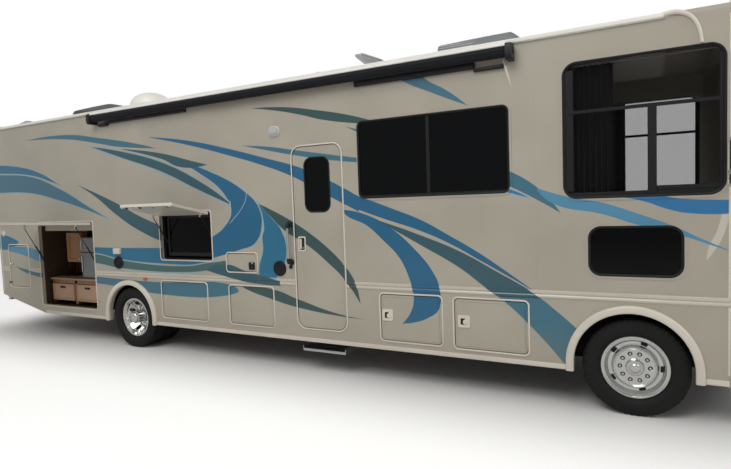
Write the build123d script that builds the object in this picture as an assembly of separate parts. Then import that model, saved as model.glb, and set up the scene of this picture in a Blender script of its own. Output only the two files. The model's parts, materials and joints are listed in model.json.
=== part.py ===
from build123d import *
import math
import os

# A front-engined motorhome, in millimetres.
# It is modelled with x forward from the front axle, y to the street side from the
# centreline and z up from the ground, and every node is moved once, as it is written,
# so that the origin is the centre of the whole object's footprint.

# Driving dimensions of the vehicle
WHEELBASE = 6147.0
BODY_WIDTH = 2540.0
X_FRONT = 655.0
X_REAR = -9200.0
Z_SKIRT = 352.0
Z_BELT = 1005.0
Z_WALL_TOP = 3190.0
WALL = 45.0
PANEL_PROUD = 5.5

# Origin of the written nodes, measured in the vehicle's own coordinates
ORIGIN_X = -4112.5
ORIGIN_Y = -476.5

# Clearances
DOOR_GAP = 6.0
SEAT = 0.3
RUN = 0.3

HALF = BODY_WIDTH / 2
INNER = HALF - WALL
KERB = -1
STREET = 1


# Plain shapes


def block(xs, ys, zs):
    """A box between two values on each axis."""
    size = [abs(b - a) for a, b in (xs, ys, zs)]
    middle = [(a + b) / 2 for a, b in (xs, ys, zs)]
    return Pos(*middle) * Box(*size)


def rod(start, end, radius):
    """A round bar between two points."""
    line = Vector(*end) - Vector(*start)
    return Solid.make_cylinder(radius, line.length, Plane(origin=start, z_dir=line))


def pipe(start, end, outer, inner):
    """A round tube between two points."""
    return rod(start, end, outer) - rod(start, end, inner)


def side_slab(sketch, y_a, y_b):
    """A side view, drawn with x forward and z up, given its thickness between two y."""
    low, high = min(y_a, y_b), max(y_a, y_b)
    return extrude(Plane.XZ.offset(-high) * sketch, amount=high - low)


def cross_slab(sketch, x_a, x_b):
    """A view from the front, drawn with y and z, given its length between two x."""
    return extrude(Plane.YZ.offset(x_a) * sketch, amount=x_b - x_a)


def rounded(x0, x1, z0, z1, radius=0.0):
    """A rectangle between two values on each axis, with round corners."""
    width, height = x1 - x0, z1 - z0
    shape = RectangleRounded(width, height, radius) if radius else Rectangle(width, height)
    return Pos((x0 + x1) / 2, (z0 + z1) / 2) * shape


def grown(opening, by):
    """The same opening, larger by one distance on every side."""
    x0, x1, z0, z1, radius = opening
    return x0 - by, x1 + by, z0 - by, z1 + by, max(radius + by, 0)


def both_sides(make):
    """The same piece made for the kerb side and for the street side."""
    return [make(KERB), make(STREET)]


nodes = {}


def keep(name, *shapes):
    """Stores the solids of one node."""
    solids = [solid for shape in shapes for solid in shape.solids()]
    nodes[name] = Compound(children=solids)


# Wheels: 245/70 tyres on 19.5 inch rims, twin at the rear

RIM_R = 19.5 * 25.4 / 2
FLANGE_R = RIM_R + 12.7
TYRE_R = 412.0
TYRE_W = 248.0
RIM_W = 171.0
FLANGE_T = 9.0
AXLE_Z = TYRE_R
TWIN_SPACING = 278.0
FRONT_TYRE_Y = 1112.0
REAR_TYRE_Y = 1128.0
SPINDLE_R = 38.0
HUB_R = 118.0
LUGS = 10
LUG_CIRCLE_R = 112.5
LUG_R = 17.0
VENTS = 8

TREAD_W = TYRE_W - 48


def ring_about_y(points, y):
    """A profile of (distance from the tyre's middle plane, radius), turned about the axle."""
    face = make_face(Polyline(*[(y + a, r) for a, r in points], close=True))
    turned = revolve(Plane(origin=(0, 0, 0), x_dir=(0, 1, 0), z_dir=(1, 0, 0)) * face, Axis.Y)
    return turned


def tyre(y):
    """One tyre about the y axis: bead, sidewall bulge, shoulder and flat tread."""
    half = TYRE_W / 2
    bead = RIM_W / 2 - FLANGE_T - 3 - SEAT
    mid_r = (RIM_R + TYRE_R) / 2
    right = [(bead, RIM_R + SEAT), (bead, FLANGE_R + 2), (RIM_W / 2 + 1, FLANGE_R + 7), (half - 6, mid_r - 36),
             (half, mid_r), (half - 6, mid_r + 45), (TREAD_W / 2, TYRE_R)]
    left = [(-a, r) for a, r in reversed(right)]
    inner = [(-bead + 14, RIM_R + SEAT), (-half + 14, mid_r), (-TREAD_W / 2 + 10, TYRE_R - 18)]
    inner += [(-a, r) for a, r in reversed(inner)]
    return ring_about_y(right + left + inner, y)


def rim(y, outward, face_out):
    """One rim about the y axis; the disc lies face_out from the rim's middle, outwards."""
    half = RIM_W / 2
    s = outward
    barrel = [
        (-half, FLANGE_R), (-half, RIM_R - 8), (-half + 30, RIM_R - 26), (half - 30, RIM_R - 26),
        (half, RIM_R - 8), (half, FLANGE_R), (half - FLANGE_T, FLANGE_R), (half - FLANGE_T - 3, RIM_R),
        (half - 34, RIM_R - 16), (-half + 34, RIM_R - 16), (-half + FLANGE_T + 3, RIM_R), (-half + FLANGE_T, FLANGE_R),
    ]
    body = ring_about_y([(s * a, r) for a, r in barrel], y)
    root = -half + 45 if face_out > 0 else half - 45
    disc = [
        (face_out, SPINDLE_R + RUN), (face_out, HUB_R + 20), (root, RIM_R - 20),
        (root - 9, RIM_R - 20), (face_out - 12, HUB_R + 14), (face_out - 12, SPINDLE_R + RUN),
    ]
    body += ring_about_y([(s * a, r) for a, r in disc], y)
    for i in range(VENTS):
        turn = Rot(0, 360 / VENTS * (i + 0.5), 0)
        body -= turn * rod((0, y - half - 40, RIM_R - 62), (0, y + half + 40, RIM_R - 62), 27)
    return body


def lug_ring(y_face, outward):
    """The lug covers around a hub's face."""
    covers = []
    for i in range(LUGS):
        turn = Rot(0, 360 / LUGS * i, 0)
        covers.append(turn * rod((0, y_face - outward * 2, LUG_CIRCLE_R), (0, y_face + outward * 34, LUG_CIRCLE_R), LUG_R))
    return covers


FRONT_FACE = RIM_W / 2 - 8
REAR_FACE = -RIM_W / 2 + 16


def front_rim(side):
    """A front wheel without its tyre: the disc stands out to the rim's outer edge."""
    y = side * FRONT_TYRE_Y
    face = y + side * FRONT_FACE
    body = rim(y, side, FRONT_FACE)
    body += pipe((0, face - side * 110, 0), (0, face, 0), HUB_R - 20, SPINDLE_R + RUN)
    body += rod((0, face - side * 4, 0), (0, face + side * 46, 0), 62) - rod((0, face - side * 12, 0), (0, face + side * 6, 0), SPINDLE_R + 6)
    for cover in lug_ring(face, side):
        body += cover
    return Pos(0, 0, AXLE_Z) * body


def rear_rim(side):
    """A rear pair without its tyres: the outer rim's disc lies deep, near the inner rim's."""
    y_out = side * REAR_TYRE_Y
    y_in = side * (REAR_TYRE_Y - TWIN_SPACING)
    face = y_out + side * REAR_FACE
    inner_face = REAR_FACE - 12 + TWIN_SPACING
    body = rim(y_out, side, REAR_FACE) + rim(y_in, side, inner_face)
    hub_end = face + side * 150
    body += pipe((0, face - side * 150, 0), (0, face + side * 2, 0), HUB_R - 20, SPINDLE_R + RUN)
    body += pipe((0, face, 0), (0, hub_end, 0), 82, SPINDLE_R + RUN)
    body += rod((0, hub_end - side * 2, 0), (0, hub_end + side * 14, 0), 82)
    for cover in lug_ring(face, side):
        body += cover
    return Pos(-WHEELBASE, 0, AXLE_Z) * body


for label, side in (("kerb", KERB), ("street", STREET)):
    keep(f"tyre_front_{label}", Pos(0, 0, AXLE_Z) * tyre(side * FRONT_TYRE_Y))
    keep(f"rim_front_{label}", front_rim(side))
    twins = [tyre(side * REAR_TYRE_Y), tyre(side * (REAR_TYRE_Y - TWIN_SPACING))]
    keep(f"tyres_rear_{label}", *[Pos(-WHEELBASE, 0, AXLE_Z) * t for t in twins])
    keep(f"rims_rear_{label}", rear_rim(side))


# Front axle, knuckles and steering

KINGPIN_Y = 955.0
KINGPIN_R = 22.0
BEAM_BOSS_R = 46.0
BEAM_BOSS_H = 96.0
EAR_H = 34.0
BEAM_W = 90.0
BEAM_H = 84.0
BEAM_DROP = 96.0
SPRING_Y = 440.0
SPRING_W = 76.0


def knuckle(side):
    """Yoke, kingpin, spindle and steering arm of one front wheel."""
    y = side * KINGPIN_Y
    ear_gap = BEAM_BOSS_H / 2 + RUN
    back = y + side * (BEAM_BOSS_R + 8)
    body = rod((0, y, AXLE_Z - ear_gap - EAR_H), (0, y, AXLE_Z + ear_gap + EAR_H), KINGPIN_R)
    for z in (-ear_gap - EAR_H, ear_gap):
        ear = rod((0, y, AXLE_Z + z), (0, y, AXLE_Z + z + EAR_H), BEAM_BOSS_R)
        ear += block((-BEAM_BOSS_R, BEAM_BOSS_R), (y, back + side * 20), (AXLE_Z + z, AXLE_Z + z + EAR_H))
        body += ear
    plate = (back, back + side * 26)
    body += block((-60, 60), plate, (AXLE_Z - ear_gap - EAR_H, AXLE_Z + ear_gap + EAR_H))
    tip = side * FRONT_TYRE_Y + side * (FRONT_FACE + 2)
    body += rod((0, back, AXLE_Z), (0, tip, AXLE_Z), SPINDLE_R)
    arm_z = AXLE_Z - ear_gap - EAR_H
    body += block((-210, -20), (y - side * 22, y + side * 22), (arm_z, arm_z + 26))
    return body


def front_beam():
    """The dropped axle beam with a boss for each kingpin and a seat for each spring."""
    z0 = AXLE_Z - BEAM_DROP
    body = block((-BEAM_W / 2, BEAM_W / 2), (-SPRING_Y - 90, SPRING_Y + 90), (z0 - BEAM_H / 2, z0 + BEAM_H / 2))
    for side in (KERB, STREET):
        inner = side * (SPRING_Y + 80)
        outer = side * (KINGPIN_Y - 24)
        face = make_face(Polyline((inner, z0 - BEAM_H / 2), (inner, z0 + BEAM_H / 2), (outer, AXLE_Z + BEAM_H / 2),
                                  (outer, AXLE_Z - BEAM_H / 2), close=True))
        body += cross_slab(face, -BEAM_W / 2, BEAM_W / 2)
        y = side * KINGPIN_Y
        body += rod((0, y, AXLE_Z - BEAM_BOSS_H / 2), (0, y, AXLE_Z + BEAM_BOSS_H / 2), BEAM_BOSS_R)
        body -= rod((0, y, AXLE_Z - BEAM_BOSS_H), (0, y, AXLE_Z + BEAM_BOSS_H), KINGPIN_R + RUN)
    return body


for label, side in (("kerb", KERB), ("street", STREET)):
    keep(f"knuckle_{label}", knuckle(side))


# Rear axle: housing with its differential, and a stub in each hub

HOUSING_R = 62.0
DIFF_R = 190.0


def rear_housing():
    """Axle tubes, differential bowl and pinion nose."""
    hub_in = REAR_TYRE_Y + REAR_FACE - 152
    body = rod((0, -hub_in, 0), (0, hub_in, 0), HOUSING_R)
    tip = REAR_TYRE_Y + REAR_FACE + 140
    body += rod((0, -tip, 0), (0, tip, 0), SPINDLE_R)
    body += Sphere(DIFF_R) & block((-DIFF_R, DIFF_R), (-120, 120), (-DIFF_R, DIFF_R))
    body += Solid.make_cone(90, 55, 130, Plane(origin=(DIFF_R - 30, 0, 0), z_dir=(1, 0, 0)))
    return Pos(-WHEELBASE, 0, AXLE_Z) * body


# Chassis: two channel rails, cross members, floor bearers, springs

RAIL_Y = 470.0
RAIL_W = 76.0
RAIL_H = 230.0
RAIL_T = 10.0
RAIL_Z = 850.0
RAIL_X = (-9100.0, 1000.0)
BEARER_H = 36.0
BEARER_W = 70.0
FLOOR_T = 50.0
FLOOR_Z = Z_BELT + FLOOR_T
CROSS_X = (900, -1560, -2300, -3435, -4700, -5500, -6800, -8200, -9040)
CROSS_Z = (780.0, RAIL_Z - RAIL_T - SEAT)
CROSS_W = 70.0
BEARER_X = (520, -760, -1610, -2600, -3550, -4560, -5640, -6780, -9080)


def rail(side):
    """A channel rail, open towards the centreline."""
    outer = side * RAIL_Y
    web = (outer, outer - side * RAIL_T)
    flange = (outer, outer - side * RAIL_W)
    body = block(RAIL_X, web, (RAIL_Z - RAIL_H, RAIL_Z))
    body += block(RAIL_X, flange, (RAIL_Z - RAIL_T, RAIL_Z))
    body += block(RAIL_X, flange, (RAIL_Z - RAIL_H, RAIL_Z - RAIL_H + RAIL_T))
    return body


def ladder_frame():
    """Both rails, their cross members, and the bearers that carry the floor on short legs."""
    parts = both_sides(rail)
    inner = RAIL_Y - RAIL_T - SEAT
    for x in CROSS_X:
        parts.append(block((x - CROSS_W / 2, x + CROSS_W / 2), (-inner, inner), CROSS_Z))
    for x in BEARER_X:
        parts.append(block((x, x + BEARER_W), (-INNER, INNER), (Z_BELT - BEARER_H, Z_BELT)))
        for side in (KERB, STREET):
            leg = (side * RAIL_Y, side * (RAIL_Y - RAIL_W))
            parts.append(block((x, x + BEARER_W), leg, (RAIL_Z + SEAT, Z_BELT - BEARER_H - SEAT)))
    return parts


def leaf_spring(side, x_mid, half_length, pad_z, leaves, rise):
    """A stack of bowed leaves with an eye at each end and a hanger up to the rail."""
    y = side * SPRING_Y
    body = None
    for i in range(leaves):
        reach = half_length * (1 - 0.16 * i)
        drop = rise * (reach / half_length) ** 2
        low, high = pad_z - 11 * (i + 1), pad_z - 11 * i
        arc_top = ThreePointArc((x_mid - reach, high + drop), (x_mid, high), (x_mid + reach, high + drop))
        arc_low = ThreePointArc((x_mid - reach, low + drop), (x_mid, low), (x_mid + reach, low + drop))
        ends = [Line(arc_top @ 0, arc_low @ 0), Line(arc_top @ 1, arc_low @ 1)]
        leaf = side_slab(make_face([arc_top, arc_low] + ends), y - SPRING_W / 2, y + SPRING_W / 2)
        body = leaf if body is None else body + leaf
    for end in (-1, 1):
        x = x_mid + end * half_length
        z = pad_z + rise - 5
        body += rod((x, y - SPRING_W / 2, z), (x, y + SPRING_W / 2, z), 28)
        body += block((x - 24, x + 24), (y - 12, y + 12), (z, RAIL_Z - RAIL_H))
    return body


FRONT_PAD = AXLE_Z - BEAM_DROP + BEAM_H / 2 + 44
REAR_PAD = AXLE_Z + HOUSING_R + 66


def spring_seat(side):
    """The saddle between the rear axle housing and its spring."""
    y = side * SPRING_Y
    return block((-WHEELBASE - 60, -WHEELBASE + 60), (y - 40, y + 40), (AXLE_Z, REAR_PAD - 54))


front_springs = [leaf_spring(side, 0, 640, FRONT_PAD, 4, 90.0) for side in (KERB, STREET)]
rear_springs = [leaf_spring(side, -WHEELBASE, 720, REAR_PAD, 5, 40.0) for side in (KERB, STREET)]
rear_body = rear_housing()
for side in (KERB, STREET):
    rear_body += spring_seat(side)
keep("front_axle", front_beam(), *front_springs)
keep("rear_axle", rear_body, *rear_springs)


# Hitch receiver and rear bumper, part of the frame

HITCH_Z = 520.0
HITCH_BORE = 51.0
HITCH_WALL = 6.35
HITCH_END = X_REAR - 260
HITCH_PIN_X = HITCH_END + 63.5
PIN_R = 8.0
BUMPER_X = (X_REAR - 172, X_REAR - 97)
BUMPER_Z = (470.0, 580.0)


def hitch():
    """Square receiver tube with its cross pin hole, on a cross tube between the rails."""
    half_out = HITCH_BORE / 2 + HITCH_WALL
    half_in = HITCH_BORE / 2
    x_in = X_REAR + 60
    tube = block((HITCH_END, x_in), (-half_out, half_out), (HITCH_Z - half_out, HITCH_Z + half_out))
    tube -= block((HITCH_END - 1, x_in + 1), (-half_in, half_in), (HITCH_Z - half_in, HITCH_Z + half_in))
    tube -= rod((HITCH_PIN_X, -100, HITCH_Z), (HITCH_PIN_X, 100, HITCH_Z), PIN_R)
    cross = block((x_in - 70, x_in), (-RAIL_Y, RAIL_Y), (HITCH_Z + half_out - 1, HITCH_Z + half_out + 70))
    for side in (KERB, STREET):
        plate = (side * RAIL_Y, side * (RAIL_Y - RAIL_T))
        cross += block((x_in - 1, RAIL_X[0] + 60), plate, (HITCH_Z + half_out - 1, RAIL_Z - RAIL_H - SEAT))
    return tube + cross


def bumper():
    """A box bumper on two brackets that reach back from the rails."""
    beam = block(BUMPER_X, (-1120, -HITCH_BORE), BUMPER_Z) + block(BUMPER_X, (HITCH_BORE, 1120), BUMPER_Z)
    beam += block(BUMPER_X, (-1120, 1120), (HITCH_Z + 34, BUMPER_Z[1]))
    for side in (KERB, STREET):
        arm = (side * RAIL_Y, side * (RAIL_Y - RAIL_W))
        beam += block((BUMPER_X[1] - 1, X_REAR - 10), arm, (HITCH_Z + 34, BUMPER_Z[1]))
    return beam


keep("chassis_frame", *ladder_frame(), hitch())
keep("rear_bumper", bumper())


# Engine, gearbox and drive line, exhaust, fuel tank

ENGINE = ((-480, 420), (-300, 300), (560, 1230))
GEARBOX_END = -1480.0
SHAFT_R = 48.0
PIPE_R = 34.0
PIPE_Y = 250.0
PIPE_Z = 515.0
MUFFLER_R = 110.0


def mechanical_line():
    """Gearbox, two drive shafts with a centre bearing, and the exhaust with its muffler."""
    gearbox = loft([Plane.YZ.offset(ENGINE[0][0]) * Pos(0, 700) * Circle(230),
                    Plane.YZ.offset(GEARBOX_END) * Pos(0, 640) * Circle(110)])
    mid = (-3400 - 36, 0, 590)
    end = (-WHEELBASE + DIFF_R + 104, 0, AXLE_Z)
    shaft = rod((GEARBOX_END - SEAT, 0, 640), mid, SHAFT_R) + rod(mid, end, SHAFT_R)
    shaft += block((-3470, -3400), (-70, 70), (540, CROSS_Z[0]))
    exhaust = rod((-300, PIPE_Y, PIPE_Z), (-2900, PIPE_Y, PIPE_Z), PIPE_R)
    exhaust += rod((-300, PIPE_Y, PIPE_Z), (-300, PIPE_Y, ENGINE[2][0] - SEAT), PIPE_R)
    exhaust += rod((-2900, PIPE_Y, PIPE_Z), (-4200, PIPE_Y, PIPE_Z), MUFFLER_R)
    exhaust += rod((-4200, PIPE_Y, PIPE_Z), (-5200, PIPE_Y, PIPE_Z), PIPE_R)
    return gearbox, shaft, exhaust


FUEL_TANK = ((-8150, -6720), (-380, 380), (470, 770))
keep("engine", block(*ENGINE))
keep("driveline", *mechanical_line())
tank = fillet(block(*FUEL_TANK).edges().filter_by(Axis.Y), 60)
for x in (FUEL_TANK[0][0] + 300, FUEL_TANK[0][1] - 300):
    strap = block((x - 20, x + 20), (FUEL_TANK[1][0] - 4, FUEL_TANK[1][1] + 4), (FUEL_TANK[2][0] - 4, FUEL_TANK[2][1] + 4))
    strap += block((x - 20, x + 20), (-RAIL_Y + RAIL_T, RAIL_Y - RAIL_T), (RAIL_Z - RAIL_H + RAIL_T + 1, RAIL_Z - RAIL_H + 22))
    tank += strap
keep("fuel_tank", tank)


# Side panels: windows, doors and hatches by table
# Each row: left edge x, right edge x, bottom z, top z, corner radius

TRIM = 18.0
ARCH_R = {"front": 455.0, "rear": 440.0}
ARCH_X = {"front": -20.0, "rear": -WHEELBASE - 5}
ARCH_Z = 430.0
FLARE_W = 60.0
FLARE_PROUD = 26.0
REAR_RISE_X = -8100.0
REAR_RISE_Z = 590.0

FRONT_WINDOW = (-539, 628, 1844, 2986, 110)
LOWER_WINDOW = (-345, 352, 1190, 1606, 100)
MIDDLE_WINDOW = (-2540, -997, 1917, 2704, 60)
REAR_SIDE_WINDOW = (-8500, -7300, 1950, 2650, 60)
WINDOWS = {
    KERB: (FRONT_WINDOW, LOWER_WINDOW, MIDDLE_WINDOW),
    STREET: (FRONT_WINDOW, LOWER_WINDOW, REAR_SIDE_WINDOW),
}

ENTRY = (-3368, -2746, 509, 2506, 105)
DOOR_WINDOW = (-3216, -2894, 1790, 2382, 92)
GALLEY = (-8145, -6861, 487, 1738, 30)
SCREEN = (-5500, -4617, 1234, 1838, 30)
HATCH = (-4380, -3928, 1110, 1325, 30)
UTILITY = (-8967, -8458, 735, 1394, 30)
BAYS = {
    KERB: {
        "bay_kerb_1": (-5522, -4734, 475, 944, 40),
        "bay_kerb_2": (-4362, -3710, 478, 934, 40),
        "bay_kerb_3": (-2332, -1676, 458, 934, 40),
        "bay_kerb_4": (-1544, -858, 450, 930, 40),
    },
    STREET: {
        "bay_street_1": (-5522, -4734, 475, 944, 40),
        "bay_street_2": (-4362, -3310, 478, 934, 40),
        "bay_street_3": (-2332, -858, 458, 934, 40),
    },
}
SLIDE = (-4700, -1500, FLOOR_Z - 6, 2960, 0)


def openings(side):
    """Every door, hatch and room opening in one side."""
    if side == KERB:
        return [ENTRY, GALLEY, SCREEN, HATCH, UTILITY] + list(BAYS[KERB].values())
    return [SLIDE] + list(BAYS[STREET].values())


HINGE_R = 5.0
HINGE_STAND = PANEL_PROUD
HINGE_SET = 3.0
RING_SET = HINGE_R + RUN - HINGE_SET


def side_view(z_low, z_high):
    """The side's outline between two heights, with both wheel arches open."""
    outline = Polyline((X_REAR, z_high), (X_FRONT, z_high), (X_FRONT, z_low), (REAR_RISE_X, z_low),
                       (X_REAR, max(z_low, REAR_RISE_Z)), close=True)
    shape = make_face(outline)
    if z_low < ARCH_Z:
        for axle in ("front", "rear"):
            radius, x = ARCH_R[axle], ARCH_X[axle]
            shape -= Pos(x, ARCH_Z) * Circle(radius)
            shape -= rounded(x - radius, x + radius, z_low - 10, ARCH_Z)
    return shape


def side_panel(side, z_low, z_high):
    """One side panel with its openings cut and their proud trim rings."""
    shape = side_view(z_low, z_high)
    rings = None
    for hole in openings(side):
        if hole[2] > z_high or hole[3] < z_low:
            continue
        shape -= rounded(*hole)
        ring = rounded(*grown(hole, TRIM)) - rounded(*grown(hole, RING_SET))
        rings = ring if rings is None else rings + ring
    for hole in WINDOWS[side]:
        if z_low <= hole[2] and hole[3] <= z_high:
            shape -= rounded(*hole)
            ring = rounded(*grown(hole, TRIM + 4)) - rounded(*hole)
            rings = ring if rings is None else rings + ring
    panel = side_slab(shape, side * INNER, side * HALF)
    if rings is not None:
        rings = rings & side_view(z_low, z_high)
        panel += side_slab(rings, side * (HALF - 1), side * (HALF + PANEL_PROUD))
    return panel


# Upright seams between the panels of one side, from the rear, above and below the belt
WALL_SEAMS = {
    KERB: (-8300.0, -6180.0, -4498.0, -3650.0, -2643.0, -768.0),
    STREET: (-6000.0, -1000.0),
}
SKIRT_SEAMS = {
    KERB: (-8300.0, -6760.0, -5556.0, -4548.0, -3539.0, -2539.0, -1610.0, -694.0),
    STREET: (-6760.0, -5556.0, -4548.0, -2821.0, -694.0),
}


def parted(panel, seams):
    """The panel cut into its sheets, which meet at the seams with a seat's gap."""
    for x in seams:
        panel -= block((x - SEAT / 2, x + SEAT / 2), (-BODY_WIDTH, BODY_WIDTH), (0, Z_WALL_TOP + 1))
    return panel


for label, side in (("kerb", KERB), ("street", STREET)):
    keep(f"{label}_wall", parted(side_panel(side, Z_BELT, Z_WALL_TOP), WALL_SEAMS[side]))
    keep(f"{label}_skirt", parted(side_panel(side, Z_SKIRT, Z_BELT), SKIRT_SEAMS[side]))


# Glass in the sides

GLASS_T = 6.0
GLASS_SET = 8.0


def pane(opening, side):
    """A glass pane set into a side opening."""
    face = rounded(*grown(opening, -SEAT))
    return side_slab(face, side * (HALF - GLASS_SET), side * (HALF - GLASS_SET - GLASS_T))


side_glass = [pane(hole, side) for side in (KERB, STREET) for hole in WINDOWS[side]]


# Hinged leaves

LEAF_T = 30.0
ENTRY_T = 42.0


def hinge_axis(opening, side, edge):
    """A point and a direction on the hinge line of a leaf."""
    x0, x1, z0, z1, _ = opening
    y = side * (HALF + HINGE_STAND)
    if edge == "front":
        return (x1 - HINGE_SET, y, (z0 + z1) / 2), (0, 0, 1)
    if edge == "rear":
        return (x0 + HINGE_SET, y, (z0 + z1) / 2), (0, 0, 1)
    return ((x0 + x1) / 2, y, z1 - HINGE_SET), (1, 0, 0)


def leaf(opening, side, edge, thickness=LEAF_T, window=None):
    """A flush leaf in its opening, with a piano hinge along one edge."""
    x0, x1, z0, z1, radius = opening
    face = rounded(*grown(opening, -DOOR_GAP))
    if window:
        face -= rounded(*window)
    body = side_slab(face, side * HALF, side * (HALF - thickness))
    (x, y, z), _ = hinge_axis(opening, side, edge)
    stand = (side * (HALF - 2), y)
    inset = radius + 25
    if edge == "top":
        body += rod((x0 + inset, y, z), (x1 - inset, y, z), HINGE_R)
        body += block((x0 + inset, x1 - inset), stand, (z - 16, z - 1))
    else:
        inward = -1 if edge == "front" else 1
        body += rod((x, y, z0 + inset), (x, y, z1 - inset), HINGE_R)
        body += block((x + inward, x + inward * 16), stand, (z0 + inset, z1 - inset))
    return body


entry = leaf(ENTRY, KERB, "front", ENTRY_T, DOOR_WINDOW)
entry_glass = side_slab(rounded(*grown(DOOR_WINDOW, -SEAT)), KERB * (HALF - GLASS_SET), KERB * (HALF - GLASS_SET - GLASS_T))
keep("entry_door", entry, entry_glass)
for side in (KERB, STREET):
    for name, opening in BAYS[side].items():
        keep(name, leaf(opening, side, "front"))
keep("hatch_kerb", leaf(HATCH, KERB, "rear"))
keep("utility_door_kerb", leaf(UTILITY, KERB, "front"))


# Raised lids on gas struts
# Each row: opening, raise angle, strut's wall pivot below the hinge and inboard of the
# side, strut's lid pivot from the hinge, and how far each strut stands from its jamb

LIDS = {
    "galley": dict(opening=GALLEY, angle=93.0, wall_z=1000.0, wall_in=120.0, arm=220.0, inset=32.0, tube=440.0),
    "screen": dict(opening=SCREEN, angle=102.0, wall_z=1350.0, wall_in=160.0, arm=110.0, inset=28.0, tube=270.0),
}
LID_T = 35.0
STRUT_R = 10.0
STRUT_ROD_R = 5.0
EYE_R = 11.0
EYE_W = 12.0
EYE_PIN_R = 4.0
LID_STAND = 36.0
LINER_T = 10.0
LINER_SET = 8.0


def lid_pivot(lid, angle):
    """Where the strut meets the lid, for an angle raised from closed."""
    (_, y_h, z_h), _ = hinge_axis(lid["opening"], KERB, "top")
    down = lid["arm"]
    inward = HINGE_STAND + LID_T + LID_STAND
    turn = math.radians(angle)
    y = y_h + inward * math.cos(turn) - down * math.sin(turn)
    z = z_h - down * math.cos(turn) - inward * math.sin(turn)
    return y, z


def strut_planes(lid):
    """The x of the rear strut and of the front strut."""
    x0, x1 = lid["opening"][0], lid["opening"][1]
    return x0 + lid["inset"], x1 - lid["inset"]


for name, lid in LIDS.items():
    opening = lid["opening"]
    cover = leaf(opening, KERB, "top", LID_T)
    (x_h, y_h, z_h), _ = hinge_axis(opening, KERB, "top")
    wall_y = KERB * HALF + lid["wall_in"]
    wall_z = lid["wall_z"]
    y_c, z_c = lid_pivot(lid, 0)
    for x, inward in zip(strut_planes(lid), (1, -1)):
        plate = (x + inward * (EYE_W / 2 + SEAT), x + inward * (EYE_W / 2 + SEAT + 6))
        cover += block(plate, (KERB * HALF + LID_T - 1, y_c + 12), (z_c - 14, z_c + 14))
    cover = Pos(0, y_h, z_h) * Rot(-lid["angle"], 0, 0) * Pos(0, -y_h, -z_h) * cover
    keep(f"{name}_lid", cover)
    y_r, z_r = lid_pivot(lid, lid["angle"])
    reach = math.hypot(y_r - wall_y, z_r - wall_z)
    along_y, along_z = (y_r - wall_y) / reach, (z_r - wall_z) / reach

    def on_strut(x, distance):
        """A point on a strut's line, from its wall pivot."""
        return x, wall_y + along_y * distance, wall_z + along_z * distance

    tubes, rods = [], []
    for x in strut_planes(lid):
        barrel = rod(on_strut(x, EYE_R - 2), on_strut(x, lid["tube"]), STRUT_R)
        barrel += rod((x - EYE_W / 2, wall_y, wall_z), (x + EYE_W / 2, wall_y, wall_z), EYE_R)
        barrel -= rod((x - EYE_W, wall_y, wall_z), (x + EYE_W, wall_y, wall_z), EYE_PIN_R + RUN)
        barrel -= rod(on_strut(x, EYE_R + 8), on_strut(x, lid["tube"] + 5), STRUT_ROD_R + RUN)
        tubes.append(barrel)
        tip = rod(on_strut(x, lid["tube"] - 25), on_strut(x, reach - 3), STRUT_ROD_R)
        tip += rod((x - EYE_W / 2, y_r, z_r), (x + EYE_W / 2, y_r, z_r), EYE_R - 2)
        rods.append(tip)
    keep(f"{name}_strut_tubes", *tubes)
    keep(f"{name}_strut_rods", *rods)
    print(name, "strut length raised", round(reach, 1), "closed",
          round(math.hypot(y_c - wall_y, z_c - wall_z), 1))


# Compartments behind the lids, with what shows in them

GALLEY_DEPTH = 560.0
SCREEN_DEPTH = 240.0


def liner(opening, depth, side=KERB):
    """An open box behind an opening, fixed to the inside of the side panel."""
    x0, x1, z0, z1, _ = grown(opening, LINER_SET)
    y_out = side * INNER
    y_in = side * (INNER - depth)
    t = LINER_T
    outer = block((x0 - t, x1 + t), (y_out, y_in), (z0 - t, z1 + t))
    return outer - block((x0, x1), (y_out + side, y_in + side * t), (z0, z1))


def lined_box(opening, depth, side):
    """The same box made of flat sheets: two ends, a top, a bottom and a back."""
    x0, x1, z0, z1, _ = grown(opening, LINER_SET)
    t = LINER_T
    ys = (side * INNER, side * (INNER - depth))
    ends = [block((x0 - t, x0), ys, (z0 - t, z1 + t)), block((x1, x1 + t), ys, (z0 - t, z1 + t))]
    level = (x0 + SEAT, x1 - SEAT)
    flat = [block(level, ys, (z0 - t, z0)), block(level, ys, (z1, z1 + t))]
    back = block(level, (side * (INNER - depth), side * (INNER - depth + t)), (z0 + SEAT, z1 - SEAT))
    return ends + flat + [back]


def strut_pins(lid):
    """The wall pins that the struts turn on."""
    x0, x1, _, _, _ = grown(lid["opening"], LINER_SET)
    y, z = KERB * HALF + lid["wall_in"], lid["wall_z"]
    rear, front = strut_planes(lid)
    pins = rod((x0 - 2, y, z), (rear + EYE_W / 2, y, z), EYE_PIN_R)
    pins += rod((front - EYE_W / 2, y, z), (x1 + 2, y, z), EYE_PIN_R)
    return pins


def galley_unit():
    """Cupboards, refrigerator, worktop and drawers in the rear compartment."""
    x0, x1, z0, z1, _ = grown(GALLEY, LINER_SET)
    back = -(INNER - GALLEY_DEPTH) - LINER_T
    face = -INNER + 190
    box = liner(GALLEY, GALLEY_DEPTH)
    top_z = 890.0
    fridge = (-7380, x1)
    box += block((x0, x1), (face - 60, back + 1), (top_z - 28, top_z))
    box += block(fridge, (face, back + 1), (top_z, 1480))
    box += block((fridge[0], x1), (face + 120, back + 1), (1500, z1))
    box += block((x0 + 360, fridge[0] - 20), (face + 40, back + 1), (1180, 1640))
    for i in range(3):
        width = (x1 - x0 - 80) / 3
        left = x0 + 20 + i * (width + 20)
        box += block((left, left + width), (face, back + 1), (600, top_z - 30))
    return box + strut_pins(LIDS["galley"])


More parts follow.
